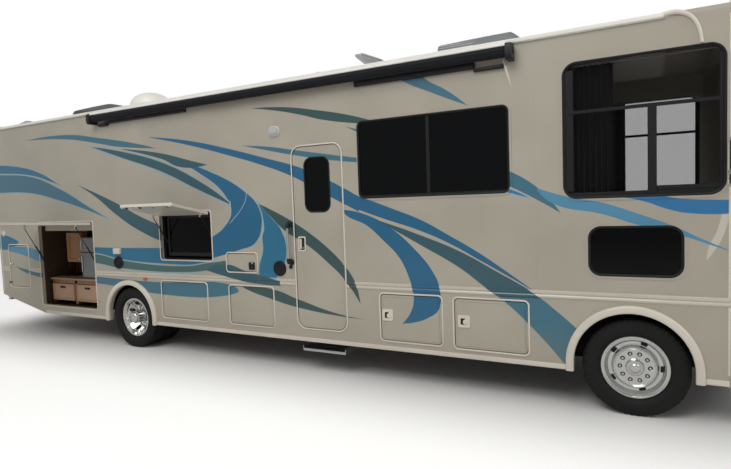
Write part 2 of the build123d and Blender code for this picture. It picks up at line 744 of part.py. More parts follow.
def screen_unit():
    """A television set back in its compartment."""
    x0, x1, z0, z1, _ = grown(SCREEN, LINER_SET)
    box = liner(SCREEN, SCREEN_DEPTH)
    back = -(INNER - SCREEN_DEPTH) - LINER_T
    front = back - 90
    box += block((x0 + 70, x1 - 70), (front, back + 1), (z0 + 60, z1 - 60))
    return box + strut_pins(LIDS["screen"])


keep("galley_unit", galley_unit())
keep("screen_unit", screen_unit())


# Storage bays, utility boxes and wheel houses

BAY_DEPTH = 690.0
HATCH_DEPTH = 150.0
UTILITY_DEPTH = 260.0
HOUSE_X = {"front": (-560.0, 530.0), "rear": (-WHEELBASE - 520, -WHEELBASE + 500)}
HOUSE_TOP = 935.0
HOUSE_IN = 540.0
HOUSE_T = 4.0
AXLE_GAP_Z = 720.0


def wheel_house(side, axle):
    """Sheets over one wheel, open to the side and below, with a gap for the axle."""
    x0, x1 = HOUSE_X[axle]
    y_in = HOUSE_IN if axle == "front" else RAIL_Y + 20
    ys = (side * y_in, side * INNER)
    t = HOUSE_T
    low = Z_SKIRT + 120
    ends = [block((x0, x0 + t), ys, (low, HOUSE_TOP)), block((x1 - t, x1), ys, (low, HOUSE_TOP))]
    level = (x0 + t + SEAT, x1 - t - SEAT)
    top = block(level, ys, (HOUSE_TOP - t, HOUSE_TOP))
    inner = block(level, (side * y_in, side * (y_in + t)), (AXLE_GAP_Z, HOUSE_TOP - t - SEAT))
    return ends + [top, inner]


bays = []
for side in (KERB, STREET):
    for opening in BAYS[side].values():
        bays += lined_box(opening, BAY_DEPTH, side)
bays += lined_box(HATCH, HATCH_DEPTH, KERB) + lined_box(UTILITY, UTILITY_DEPTH, KERB)
houses = [sheet for side in (KERB, STREET) for axle in ("front", "rear") for sheet in wheel_house(side, axle)]
keep("floor_boxes", *bays, *houses)


# Floor

def floor():
    """The floor slab, cut for the engine cover and for the compartments that pass it."""
    slab = block((X_REAR, X_FRONT), (-INNER + SEAT, INNER - SEAT), (Z_BELT, FLOOR_Z))
    slab -= block((-620, X_FRONT + 10), (-380, 380), (Z_BELT - 5, FLOOR_Z + 5))
    for opening, depth in ((GALLEY, GALLEY_DEPTH), (UTILITY, UTILITY_DEPTH)):
        x0, x1, _, _, _ = grown(opening, LINER_SET + LINER_T + SEAT)
        slab -= block((x0, x1), (-HALF, -(INNER - depth - SEAT)), (Z_BELT - 5, FLOOR_Z + 5))
    x0, x1, _, _, _ = grown(ENTRY, 30)
    slab -= block((x0, x1), (-HALF, -HALF + 620), (Z_BELT - 5, FLOOR_Z + 5))
    return slab


keep("floor", floor())


# Step well behind the entry door

WELL_DEPTH = 560.0
WELL_STEPS = 3
WELL_T = 8.0


def step_well():
    """Sheets of two fixed steps up from the doorway to the floor, between two sides."""
    x0, x1 = ENTRY[0] - 12, ENTRY[1] + 12
    t = WELL_T
    front, back = -INNER, -INNER + WELL_DEPTH
    bottom = ENTRY[2] - 14
    rise = (FLOOR_Z - bottom) / WELL_STEPS
    going = WELL_DEPTH / WELL_STEPS
    level = (x0 + t + SEAT, x1 - t - SEAT)
    sheets = [block((x, x + t), (front, back), (bottom - t, FLOOR_Z)) for x in (x0, x1 - t)]
    sheets.append(block(level, (front, back), (bottom - t, bottom)))
    sheets.append(block(level, (back - t, back), (bottom + SEAT, FLOOR_Z)))
    for i in range(1, WELL_STEPS):
        y, z = front + going * i, bottom + rise * i
        riser_low = bottom + SEAT if i == 1 else z - rise - t
        tread_end = back - t if i == WELL_STEPS - 1 else y + going
        sheets.append(block(level, (y, y + t), (riser_low, z)))
        sheets.append(block(level, (y + t + SEAT, tread_end - SEAT), (z - t, z)))
    return sheets


# Fold-out entry step: parallel arms carry a level tread

STEP_X = (-3330.0, -2780.0)
STEP_ARM = 150.0
STEP_SWING = 66.0
STEP_Y = -(HALF - 140)
STEP_PIVOT_Z = 350.0
STEP_T = 28.0
STEP_DEPTH = 265.0
STEP_ARM_GAP = 130.0
STEP_LINK_T = 10.0


def step_hang(swing):
    """Offset from an arm's upper pivot to its lower one; swing is inboard of straight down."""
    turn = math.radians(swing)
    return STEP_ARM * math.sin(turn), -STEP_ARM * math.cos(turn)


def step_links(shift):
    """One pair of level links, one at each end of the tread, at a distance inboard."""
    dy, dz = step_hang(STEP_SWING)
    y = STEP_Y + shift
    links = []
    for x in (STEP_X[0] - SEAT - STEP_LINK_T, STEP_X[1] + SEAT):
        link = rod((x, y, STEP_PIVOT_Z), (x + STEP_LINK_T, y, STEP_PIVOT_Z), 14)
        link += rod((x, y + dy, STEP_PIVOT_Z + dz), (x + STEP_LINK_T, y + dy, STEP_PIVOT_Z + dz), 14)
        bar = Pos(0, 0, -STEP_ARM / 2) * Box(STEP_LINK_T, 24, STEP_ARM)
        link += Pos(x + STEP_LINK_T / 2, y, STEP_PIVOT_Z) * Rot(STEP_SWING, 0, 0) * bar
        links.append(link)
    return links


def step_tread():
    """The tread with a side plate at each end that the links turn on."""
    dy, dz = step_hang(STEP_SWING)
    z = STEP_PIVOT_Z + dz
    y_front = STEP_Y + dy - STEP_DEPTH
    body = block(STEP_X, (y_front, y_front + STEP_DEPTH), (z - 18 - STEP_T, z - 18))
    for x in (STEP_X[0], STEP_X[1] - 6):
        body += block((x, x + 6), (y_front, STEP_Y + dy + STEP_ARM_GAP + 16), (z - 19, z + 14))
    return body


def step_hanger():
    """Side plates that hang the links' upper pivots below the step well."""
    top = ENTRY[2] - 14 - WELL_T
    body = []
    for x in (STEP_X[0] - 2 * SEAT - STEP_LINK_T - 8, STEP_X[1] + 2 * SEAT + STEP_LINK_T):
        plate = block((x, x + 8), (STEP_Y - 20, STEP_Y + STEP_ARM_GAP + 20), (STEP_PIVOT_Z - 20, top))
        body.append(plate)
    return body


keep("step_arms", *step_links(0))
keep("step_links", *step_links(STEP_ARM_GAP))
keep("step_tread", step_tread())
keep("step_well", *step_well(), *step_hanger())


# Roof: a crowned shell with flat curbs for what stands on it

ROOF_EDGE_Z = 3272.0
ROOF_CROWN = 48.0
ROOF_T = 50.0
ROOF_X = (X_REAR, X_FRONT)
CURB_Z = ROOF_EDGE_Z + ROOF_CROWN + 8
EDGE_R = 46.0


def roof_face(inset, top_drop):
    """The roof's section: short upright edges, round shoulders and a crowned top."""
    y = HALF - inset
    edge = ROOF_EDGE_Z - top_drop
    k = EDGE_R * (1 - math.sqrt(0.5))
    bottom = Z_WALL_TOP if inset == 0 else Z_WALL_TOP - 1
    lines = [
        Line((-y, bottom), (-y, edge - EDGE_R)),
        ThreePointArc((-y, edge - EDGE_R), (-y + k, edge - k), (-y + EDGE_R, edge)),
        ThreePointArc((-y + EDGE_R, edge), (0, edge + ROOF_CROWN), (y - EDGE_R, edge)),
        ThreePointArc((y - EDGE_R, edge), (y - k, edge - k), (y, edge - EDGE_R)),
        Line((y, edge - EDGE_R), (y, bottom)),
        Line((y, bottom), (-y, bottom)),
    ]
    return make_face(lines)


AC_UNITS = (("front", -1500.0, 0.0), ("rear", -8050.0, 0.0))
AC_CURB = (900.0, 640.0)
DOME_X, DOME_Y = -6300.0, -600.0
ANTENNA_X, ANTENNA_Y = -3300.0, -760.0
VENT_X = (-4600.0, -7000.0)
VENT_W = 420.0

roof = cross_slab(roof_face(0, 0), *ROOF_X) - cross_slab(roof_face(WALL, ROOF_T), ROOF_X[0] - 1, ROOF_X[1] + 1)
for _, x, y in AC_UNITS:
    roof += block((x - AC_CURB[0] / 2, x + AC_CURB[0] / 2), (y - AC_CURB[1] / 2, y + AC_CURB[1] / 2), (ROOF_EDGE_Z, CURB_Z))
for x, y in ((DOME_X, DOME_Y), (ANTENNA_X, ANTENNA_Y)):
    roof += Pos(x, y, CURB_Z - 40) * Cylinder(170, 80)
for x in VENT_X:
    roof += block((x - VENT_W / 2, x + VENT_W / 2), (-VENT_W / 2, VENT_W / 2), (ROOF_EDGE_Z, CURB_Z))
keep("roof", roof)


AC_LENGTH = 1030.0


def shroud(x, y):
    """An air conditioner's shroud: a rounded lid that tapers towards the front."""
    z = CURB_Z
    low = Plane.XY.offset(z) * Pos(x, y) * RectangleRounded(AC_LENGTH, 690, 110)
    mid = Plane.XY.offset(z + 180) * Pos(x - 10, y) * RectangleRounded(AC_LENGTH - 50, 670, 110)
    top = Plane.XY.offset(z + 335) * Pos(x - 50, y) * RectangleRounded(AC_LENGTH - 330, 540, 110)
    body = loft([low, mid, top], ruled=True)
    for i in range(7):
        slot_z = z + 60 + i * 24
        body -= block((x - AC_LENGTH, x - AC_LENGTH / 2 + 30), (y - 250, y + 250), (slot_z, slot_z + 11))
    return body


def dome():
    """A round satellite dome on its base ring."""
    base = Pos(DOME_X, DOME_Y, CURB_Z + 20) * Cylinder(200, 40)
    cap_r = 290.0
    sphere = Pos(DOME_X, DOME_Y, CURB_Z + 40) * Sphere(cap_r)
    sphere &= block((DOME_X - cap_r, DOME_X + cap_r), (DOME_Y - cap_r, DOME_Y + cap_r), (CURB_Z + 39, CURB_Z + 40 + cap_r))
    return base + sphere


def antenna():
    """A folded batwing aerial: base, lying mast and flat head."""
    x, y, z = ANTENNA_X, ANTENNA_Y, CURB_Z
    body = Pos(x, y, z + 40) * Cylinder(55, 80)
    body += rod((x, y, z + 66), (x + 820, y, z + 66), 16)
    wing = Polyline((x + 640, y - 40), (x + 700, y - 380), (x + 780, y - 380), (x + 840, y - 60), (x + 840, y + 60),
                    (x + 780, y + 380), (x + 700, y + 380), (x + 640, y + 40), close=True)
    body += extrude(Plane.XY.offset(z + 60) * make_face(wing), amount=50)
    return body


def vent(x):
    """A roof vent lid."""
    low = Plane.XY.offset(CURB_Z) * Pos(x, 0) * RectangleRounded(VENT_W + 40, VENT_W + 40, 40)
    top = Plane.XY.offset(CURB_Z + 70) * Pos(x, 0) * RectangleRounded(VENT_W - 40, VENT_W - 40, 40)
    return loft([low, top], ruled=True)


keep("roof_units", *[shroud(x, y) for _, x, y in AC_UNITS], dome(), antenna(), *[vent(x) for x in VENT_X])


# Awning: roller case with its end brackets and folded arms

AWNING_X = (-6600.0, -990.0)
AWNING_Z = 3150.0
AWNING_R = 62.0
AWNING_Y = -(HALF + AWNING_R + 18)


def awning():
    """The rolled case, a cap at each end, and a folded support arm along the wall."""
    x0, x1 = AWNING_X
    case = rod((x0, AWNING_Y, AWNING_Z), (x1, AWNING_Y, AWNING_Z), AWNING_R)
    case += block((x0 + 20, x1 - 20), (AWNING_Y, -HALF - SEAT), (AWNING_Z + 10, AWNING_Z + 48))
    for x, inward in ((x0, 1), (x1, -1)):
        case += block((x, x - inward * 60), (AWNING_Y - 66, -HALF - SEAT), (AWNING_Z - 78, AWNING_Z + 66))
        arm = (x - inward * 10, x + inward * 1280)
        case += block(arm, (-HALF - 40, -HALF - SEAT), (AWNING_Z - 122, AWNING_Z - 86))
        elbow = (x - inward * 10, x - inward * 50)
        case += block(elbow, (-HALF - 40, -HALF - SEAT), (AWNING_Z - 122, AWNING_Z - 70))
    return case


keep("awning", awning())


# Front and rear caps
# Front rows: z, nose x on the centreline, bow of the nose, depth of the round corner along
# the side, width of the round corner, half width of the cap

FRONT_CAP = (
    (330.0, 1130.0, 50.0, 330.0, 300.0, HALF - 30),
    (430.0, 1215.0, 60.0, 380.0, 330.0, HALF),
    (860.0, 1235.0, 60.0, 400.0, 350.0, HALF),
    (1230.0, 1175.0, 70.0, 390.0, 370.0, HALF),
    (2840.0, 975.0, 80.0, 250.0, 360.0, HALF),
    (3080.0, 930.0, 80.0, 200.0, 340.0, HALF),
    (3230.0, 840.0, 70.0, 130.0, 330.0, HALF - 15),
    (3312.0, 715.0, 30.0, 20.0, 300.0, HALF - 90),
)
REAR_CAP = (
    (595.0, 85.0, 15.0, 55.0, 60.0, HALF),
    (1300.0, 118.0, 20.0, 80.0, 90.0, HALF),
    (3000.0, 100.0, 20.0, 70.0, 90.0, HALF),
    (3230.0, 70.0, 15.0, 45.0, 90.0, HALF - 15),
    (3312.0, 30.0, 5.0, 15.0, 90.0, HALF - 90),
)
CAP_T = 22.0
WINDSCREEN = (-1085.0, 1085.0, 1330.0, 2800.0, 130.0)
GRILLE = (-430.0, 430.0, 560.0, 850.0, 50.0)
LAMP = (690.0, 1010.0, 640.0, 850.0, 50.0)
FOG = (720.0, 940.0, 420.0, 520.0, 40.0)


def cap_section(z, nose, bow, corner_x, corner_y, half_w, start, inset):
    """One plan section of a cap: straight sides, round corners and a bowed face."""
    face_x = nose - bow - inset
    side_y = half_w - inset
    side_x = max(face_x - corner_x, start + 2)
    turn_y = half_w - corner_y
    root = math.sqrt(0.5)
    mid = (side_x + (face_x - side_x) * root, turn_y + (side_y - turn_y) * root)
    back = start - (40 if inset else 0)
    lines = [
        Line((back, -side_y), (side_x, -side_y)),
        ThreePointArc((side_x, -side_y), (mid[0], -mid[1]), (face_x, -turn_y)),
        ThreePointArc((face_x, -turn_y), (nose - inset, 0), (face_x, turn_y)),
        ThreePointArc((face_x, turn_y), mid, (side_x, side_y)),
        Line((side_x, side_y), (back, side_y)),
        Line((back, side_y), (back, -side_y)),
    ]
    return Plane.XY.offset(z) * make_face(lines)


def cap_loft(rows, start, inset):
    """A cap's solid, or its inside when an inset is given."""
    drops = [0] * len(rows)
    if inset:
        drops[0] = 60
        drops[-1] = inset
    sections = [cap_section(z - drop, nose, bow, cx, cy, hw, start, inset)
                for (z, nose, bow, cx, cy, hw), drop in zip(rows, drops)]
    return loft(sections, ruled=True)


front_outer = cap_loft(FRONT_CAP, X_FRONT, 0)
front_inner = cap_loft(FRONT_CAP, X_FRONT, CAP_T)


def through_front(opening):
    """An opening seen from the front, carried back along the vehicle."""
    return cross_slab(rounded(*opening), X_FRONT + 40, 1400)


def mirrored(opening):
    """The same opening on the other side of the centreline."""
    x0, x1, z0, z1, radius = opening
    return -x1, -x0, z0, z1, radius


cap = front_outer - front_inner
lamp_views = [LAMP, mirrored(LAMP), FOG, mirrored(FOG)]
for view in [WINDSCREEN, GRILLE] + lamp_views:
    cap -= through_front(view)
keep("front_cap", cap)

pane_skin = cap_loft(FRONT_CAP, X_FRONT, 4) - cap_loft(FRONT_CAP, X_FRONT, 11)
keep("windscreen", pane_skin & through_front(grown(WINDSCREEN, -SEAT)))

lens_skin = cap_loft(FRONT_CAP, X_FRONT, 2) - cap_loft(FRONT_CAP, X_FRONT, CAP_T + 20)


def grille():
    """A frame in the nose with level slats and a few uprights."""
    zone = cap_loft(FRONT_CAP, X_FRONT, 3) - cap_loft(FRONT_CAP, X_FRONT, 30)
    x0, x1, z0, z1, r = grown(GRILLE, -SEAT)
    face = rounded(x0, x1, z0, z1, r) - rounded(x0 + 22, x1 - 22, z0 + 22, z1 - 22, r - 22)
    slats = 7
    pitch = (z1 - z0 - 44) / slats
    for i in range(1, slats):
        z = z0 + 22 + pitch * i
        face += rounded(x0 + 10, x1 - 10, z - 6, z + 6)
    for x in (-140, 140):
        face += rounded(x - 8, x + 8, z0 + 10, z1 - 10)
    return zone & cross_slab(face, X_FRONT + 40, 1400)


keep("grille", grille())

rear_outer = Rot(0, 0, 180) * cap_loft(REAR_CAP, 0, 0)
rear_inner = Rot(0, 0, 180) * cap_loft(REAR_CAP, 0, CAP_T)
rear_outer = Pos(X_REAR, 0, 0) * rear_outer
rear_inner = Pos(X_REAR, 0, 0) * rear_inner
REAR_WINDOW = (-560.0, 560.0, 1950.0, 2650.0, 70.0)
TAIL_LAMP = (930.0, 1110.0, 760.0, 1120.0, 40.0)


def through_rear(opening):
    """An opening seen from behind, carried forward along the vehicle."""
    return cross_slab(rounded(*opening), X_REAR - 300, X_REAR - 20)


rear = rear_outer - rear_inner
for view in (REAR_WINDOW, TAIL_LAMP, mirrored(TAIL_LAMP)):
    rear -= through_rear(view)
keep("rear_cap", rear)


def rear_skin(out, into):
    """A layer of the rear cap between two depths."""
    outer = cap_loft(REAR_CAP, 0, out)
    inner = cap_loft(REAR_CAP, 0, into)
    return Pos(X_REAR, 0, 0) * Rot(0, 0, 180) * (outer - inner)


keep("window_glass", *side_glass, rear_skin(4, 10) & through_rear(grown(REAR_WINDOW, -SEAT)))
front_lamps = [lens_skin & through_front(grown(view, -SEAT)) for view in lamp_views]
tail_skin = rear_skin(2, CAP_T)
tail_lamps = [tail_skin & through_rear(grown(view, -SEAT)) for view in (TAIL_LAMP, mirrored(TAIL_LAMP))]
keep("lamps", *front_lamps, *tail_lamps)


# Belt moulding and wheel flares

BELT_Z = (970.0, 1046.0)
BELT_PROUD = 12.0


def belt(side):
    """The double-ridged moulding along one side, broken at the doors."""
    low, high = BELT_Z
    mid = (low + high) / 2
    out = side * HALF
    profile = Polyline((out, low), (out + side * BELT_PROUD, low + 14), (out + side * BELT_PROUD, mid - 12),
                       (out + side * 4, mid), (out + side * BELT_PROUD, mid + 12), (out + side * BELT_PROUD, high - 10),
                       (out, high), close=True)
    strip = cross_slab(make_face(profile), X_REAR, X_FRONT)
    for hole in openings(side):
        if hole[2] < high + TRIM and hole[3] > low - TRIM:
            x0, x1, _, _, _ = grown(hole, TRIM + SEAT)
            z0, z1 = hole[2] - TRIM - SEAT, hole[3] + TRIM + SEAT
            strip -= block((x0, x1), (side * (HALF - 5), side * (HALF + 60)), (z0, z1))
    return strip


def flare(side, axle):
    """The raised band around one wheel arch."""
    radius, x = ARCH_R[axle], ARCH_X[axle]
    wide = radius + FLARE_W
    bottom = Z_SKIRT
    face = Pos(x, ARCH_Z) * Circle(wide) + rounded(x - wide, x + wide, bottom, ARCH_Z)
    face -= Pos(x, ARCH_Z) * Circle(radius) + rounded(x - radius, x + radius, bottom - 600, ARCH_Z)
    face &= rounded(x - wide, x + wide, bottom, ARCH_Z + wide)
    return side_slab(face, side * HALF, side * (HALF + FLARE_PROUD))


trim = [belt(side) for side in (KERB, STREET)]
trim += [flare(side, axle) - belt(side) for side in (KERB, STREET) for axle in ("front", "rear")]
keep("body_trim", *trim)


# Slide-out room on the street side

SLIDE_T = 40.0
SLIDE_DEPTH = 900.0
SLIDE_FLANGE = 45.0
SLIDE_FLANGE_T = 22.0
SLIDE_SEAL = PANEL_PROUD + SEAT
SLIDE_WINDOW = (-3900.0, -2300.0, 1850.0, 2620.0, 60.0)


def slide_room():
    """Sheets of a room open to the cabin: two ends, a floor, a roof and a flanged wall."""
    x0, x1, _, z1, _ = grown(SLIDE, -DOOR_GAP)
    z0 = FLOOR_Z + SEAT
    t = SLIDE_T
    deep = (HALF - SLIDE_DEPTH, HALF - t - SEAT)
    level = (x0 + t + SEAT, x1 - t - SEAT)
    sheets = [block((x, x + t), deep, (z0, z1)) for x in (x0, x1 - t)]
    sheets += [block(level, deep, (z, z + t)) for z in (z0, z1 - t)]
    wall = block((x0, x1), (HALF - t, HALF + SLIDE_SEAL + 1), (z0, z1))
    flange_z = max(z0 - SLIDE_FLANGE, BELT_Z[1] + 4)
    proud = (HALF + SLIDE_SEAL, HALF + SLIDE_SEAL + SLIDE_FLANGE_T)
    wall += block((x0 - SLIDE_FLANGE, x1 + SLIDE_FLANGE), proud, (flange_z, z1 + SLIDE_FLANGE))
    wall -= side_slab(rounded(*SLIDE_WINDOW), HALF - t - 1, HALF + 80)
    return sheets + [wall]


slide_glass = side_slab(rounded(*grown(SLIDE_WINDOW, -SEAT)), HALF, HALF + GLASS_T)
keep("slide_room", *slide_room(), slide_glass)


# Mirrors and ladder

MIRROR_X = 690.0
MIRROR_Z = 2075.0
MIRROR_H = 360.0


def mirror(side):
    """A tall mirror head on an arm from the corner of the cap."""
    y = side * (HALF + 190)
    head = Pos(MIRROR_X, y, MIRROR_Z - MIRROR_H / 2) * extrude(RectangleRounded(110, 210, 45), amount=MIRROR_H)
    arm = None
    for dz in (-130, 120):
        bar = rod((MIRROR_X, y, MIRROR_Z + dz), (MIRROR_X + 90, side * (HALF - 150), MIRROR_Z + 1.2 * dz), 15)
        arm = bar if arm is None else arm + bar
    return (head + arm) - front_outer


keep("mirrors", *both_sides(mirror))


def ladder():
    """Two rails with treads, from the bumper to a hoop over the roof."""
    y_mid = -700.0
    rails = [y_mid - 170, y_mid + 170]
    x = X_REAR - 200
    body = None
    for y in rails:
        upright = rod((x, y, 760), (x, y, ROOF_EDGE_Z + 60), 14)
        upright += rod((x, y, ROOF_EDGE_Z + 60), (X_REAR + 260, y, ROOF_EDGE_Z + 130), 14)
        upright += rod((X_REAR + 260, y, ROOF_EDGE_Z + 130), (X_REAR + 260, y, ROOF_EDGE_Z + 10), 14)
        for z in (900, 1900, 2900):
            upright += rod((x, y, z), (X_REAR - 60, y, z), 12)
        body = upright if body is None else body + upright
    for i in range(7):
        z = 860 + i * 340
        body += block((x - 16, x + 16), (rails[0], rails[1]), (z, z + 24))
    body += rod((X_REAR + 260, rails[0], ROOF_EDGE_Z + 130), (X_REAR + 260, rails[1], ROOF_EDGE_Z + 130), 14)
    return body


keep("ladder", ladder() - rear_outer - roof)


# Cab: engine cover, dash, steering wheel and two seats

def cab():
    """The engine cover between the seats, the dash under the windscreen and the wheel."""
    t = 12.0
    cover = block((-630, X_FRONT), (-400, 400), (FLOOR_Z, 1340))
    cover -= block((-630 + t, X_FRONT + 1), (-400 + t, 400 - t), (FLOOR_Z - 1, 1340 - t))
    dash = side_slab(make_face(Polyline((420, FLOOR_Z + 260), (480, 1420), (700, 1400), (900, 1290), (900, 1200), (600, 1150),
                                        close=True)), -1110, 1110)
    column = rod((560, 560, 1360), (250, 560, 1560), 30)
    wheel = Pos(250, 560, 1560) * Rot(0, -57, 0) * (Torus(225, 15) + Box(30, 420, 14) + Box(420, 30, 14) + Cylinder(60, 40))
    return dash - cover, cover, wheel + column - dash


def seat(side):
    """A captain's seat on its pedestal."""
    y = side * 760
    x = -330.0
    z = FLOOR_Z
    body = block((x - 150, x + 200), (y - 170, y + 170), (z, z + 300))
    body += extrude(Plane.XY.offset(z + 299) * Pos(x + 30, y) * RectangleRounded(540, 540, 70), amount=150)
    back = Pos(x - 240, y, z + 420) * Rot(0, -10, 0) * Pos(0, 0, 360) * Box(150, 520, 720)
    head = Pos(x - 240, y, z + 420) * Rot(0, -10, 0) * Pos(10, 0, 790) * Box(110, 300, 200)
    body += back + head
    for arm_y in (-1, 1):
        body += Pos(x - 20, y + arm_y * 275, z + 610) * Box(430, 60, 60)
        body += Pos(x - 220, y + arm_y * 262, z + 610) * Box(60, 40, 60)
    return body


dash, cover, wheel = cab()
keep("dash", dash, cover, wheel)
keep("cab_seats", *both_sides(seat))


# Write the nodes

os.makedirs("parts", exist_ok=True)
for name, shape in nodes.items():
    export_step(Pos(-ORIGIN_X, -ORIGIN_Y, 0) * shape, f"parts/{name}.step")
print(len(nodes), "nodes")
whole = Compound(children=list(nodes.values())).bounding_box()
print("box", [round(v) for v in (*whole.min, *whole.max)])
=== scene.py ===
# %% [markdown]
# A motorhome is a long hollow box of painted panels on a truck chassis.
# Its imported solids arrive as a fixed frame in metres, with X forward along the vehicle and Z up.
# This lesson gives each solid its finish, and adds the gaskets, latches, lamps and tread that make
# the box look like the real thing.
# %% Load the frame
import json
import math

import bmesh
import bpy
import numpy as np
from mathutils import Matrix, Vector

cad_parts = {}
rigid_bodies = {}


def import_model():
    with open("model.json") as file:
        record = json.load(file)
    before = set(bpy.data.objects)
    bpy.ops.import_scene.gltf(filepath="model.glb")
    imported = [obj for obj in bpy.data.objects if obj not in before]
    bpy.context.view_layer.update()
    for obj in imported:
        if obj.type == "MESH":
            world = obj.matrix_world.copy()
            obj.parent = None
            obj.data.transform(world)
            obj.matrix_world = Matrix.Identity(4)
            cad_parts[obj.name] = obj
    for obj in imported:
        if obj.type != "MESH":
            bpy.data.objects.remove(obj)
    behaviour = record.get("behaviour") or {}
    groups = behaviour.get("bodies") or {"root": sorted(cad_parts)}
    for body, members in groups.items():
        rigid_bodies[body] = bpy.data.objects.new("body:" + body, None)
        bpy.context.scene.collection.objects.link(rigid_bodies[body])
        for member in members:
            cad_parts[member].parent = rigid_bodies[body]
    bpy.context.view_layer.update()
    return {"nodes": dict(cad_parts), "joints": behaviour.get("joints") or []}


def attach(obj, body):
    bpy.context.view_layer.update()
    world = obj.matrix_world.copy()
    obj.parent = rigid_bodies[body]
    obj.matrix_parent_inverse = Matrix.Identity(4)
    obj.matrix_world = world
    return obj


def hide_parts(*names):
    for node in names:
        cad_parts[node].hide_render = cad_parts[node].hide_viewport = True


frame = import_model()
joints = {joint["name"]: joint for joint in frame["joints"]}

# %% [markdown]
# Places on a vehicle are easiest to say from its front axle, its centreline and the ground.
# The two front hubs give that point in the frame, so nothing here is measured twice.
# A side frame then turns a place along the side, a height and a stand-off into a point.
# %% Vehicle coordinates
hubs = np.array([joints[f"spin_front_{side}"]["pos_m"] for side in ("kerb", "street")])
AXLE_X = hubs[0, 0]
CENTRE_Y = hubs[:, 1].mean()
HALF_BODY = 1.270
ROOT = joints["steer_kerb"]["parent"]


def side_frame(side):
    """Origin, along, up and outward directions of one side wall's outer face."""
    return np.array([[AXLE_X, CENTRE_Y + side * HALF_BODY, 0], [1, 0, 0], [0, 0, 1], [0, side, 0]], float)


KERB = side_frame(-1)
STREET = side_frame(1)
TOP = np.array([[AXLE_X, CENTRE_Y, 0], [1, 0, 0], [0, 1, 0], [0, 0, 1]], float)
AHEAD = np.array([[AXLE_X, CENTRE_Y, 0], [0, 1, 0], [0, 0, 1], [1, 0, 0]], float)


def onto(face, along, up, out):
    """Points of a side frame: origin plus along, up and out times its three directions."""
    along, up, out = np.broadcast_arrays(along, up, out)
    return face[0] + along[..., None] * face[1] + up[..., None] * face[2] + out[..., None] * face[3]


print("front axle at", round(float(AXLE_X), 3), "and centreline at", round(float(CENTRE_Y), 3))

# %% [markdown]
# The camera stands at the kerb, near the front wheel, and looks back along the side.
# Its place and turns were fitted to points whose real size is known, such as the wheels.
# A 26 mm lens on a 36 mm sensor gives the same perspective as the picture.
# %% Camera
CAMERA_FROM_AXLE = (0.122, -6.150, 1.872)
CAMERA_TURN = (28.093, -3.386, 2.018)
LENS_MM, SENSOR_MM = 26.388, 36.0
camera = bpy.data.objects.new("camera", bpy.data.cameras.new("camera"))
bpy.context.scene.collection.objects.link(camera)
yaw, pitch, roll = (math.radians(a) for a in CAMERA_TURN)
view = Matrix.Rotation(yaw, 3, "Z") @ Matrix.Rotation(pitch, 3, "X") @ Matrix.Rotation(roll, 3, "Y")
turn = Matrix((view.col[0], view.col[2], -view.col[1])).transposed()
camera.matrix_world = Matrix.Translation(
    (AXLE_X + CAMERA_FROM_AXLE[0], CENTRE_Y + CAMERA_FROM_AXLE[1], CAMERA_FROM_AXLE[2])) @ turn.to_4x4()
camera.data.sensor_width = SENSOR_MM
camera.data.lens = LENS_MM
camera.data.clip_end = 500.0
bpy.context.scene.camera = camera
print("camera", round(-CAMERA_FROM_AXLE[1], 2), "m from the centreline,", CAMERA_FROM_AXLE[2], "m up")

# %% [markdown]
# Colours are written as on a paint card, in sRGB hex, and one function makes them linear.
# A material is a small network of nodes. One function adds a node with its settings and links and
# hands back the socket that the next node needs, so each material below reads as a recipe.
# %% Colour and node helpers


def linear(code, alpha=1.0):
    """sRGB hex to linear: c / 12.92 below 0.04045, else ((c + 0.055) / 1.055) ** 2.4."""
    value = np.array([int(code[i:i + 2], 16) for i in (1, 3, 5)]) / 255
    lin = np.where(value <= 0.04045, value / 12.92, ((value + 0.055) / 1.055) ** 2.4)
    return (*lin.tolist(), alpha)


def feed(tree, node, sockets):
    """Gives a node's sockets a value each, or a link from another socket."""
    for key, value in sockets.items():
        if isinstance(value, bpy.types.NodeSocket):
            tree.links.new(value, node.inputs[key])
        else:
            node.inputs[key].default_value = value


def add(tree, kind, sockets=None, out=0, **settings):
    """Adds a node with its settings, feeds its sockets, and gives one of its outputs."""
    node = tree.nodes.new("ShaderNode" + kind)
    for key, value in settings.items():
        setattr(node, key, value)
    feed(tree, node, sockets or {})
    return node.outputs[out]


def surface(name, **sockets):
    """A material with one Principled shader, its node tree, and its place on the object."""
    made = bpy.data.materials.new(name)
    made.use_nodes = True
    shader = made.node_tree.nodes["Principled BSDF"]
    feed(made.node_tree, shader, {key.replace("_", " "): value for key, value in sockets.items()})
    place = add(made.node_tree, "TexCoord", out="Object")
    return made, made.node_tree, shader, place


print("mid grey #808080 is", [round(c, 3) for c in linear("#808080")], "in linear light")

# %% [markdown]
# The side's stripes are sprayed through masks: long swooshes that taper to a point, with a thin
# pale line along some edges. A flat decal would have to be cut at each door, so the paint itself
# holds the pattern, read from Object coordinates, and it runs on over every panel and door.
# Each stripe is the space between two curves. Most are heights over a place along the side, and
# the hooked ones are places over a height. All are in metres from the front axle and the ground.
# %% Stripe table
BLUE = "#146A8C"
DEEP_BLUE = "#0B5E84"
SKY = "#2571A6"
RAIN = "#4E8BAB"
TEAL = "#376C80"
DARK_TEAL = "#28535F"
GREEN = "#2C4C4C"
MOSS = "#3C625F"
PALE = "#93AAB0"
# The pale sliver by the front cap's seam is a painted highlight
CAP_SEAM_HIGHLIGHT = "#C9C2B4"

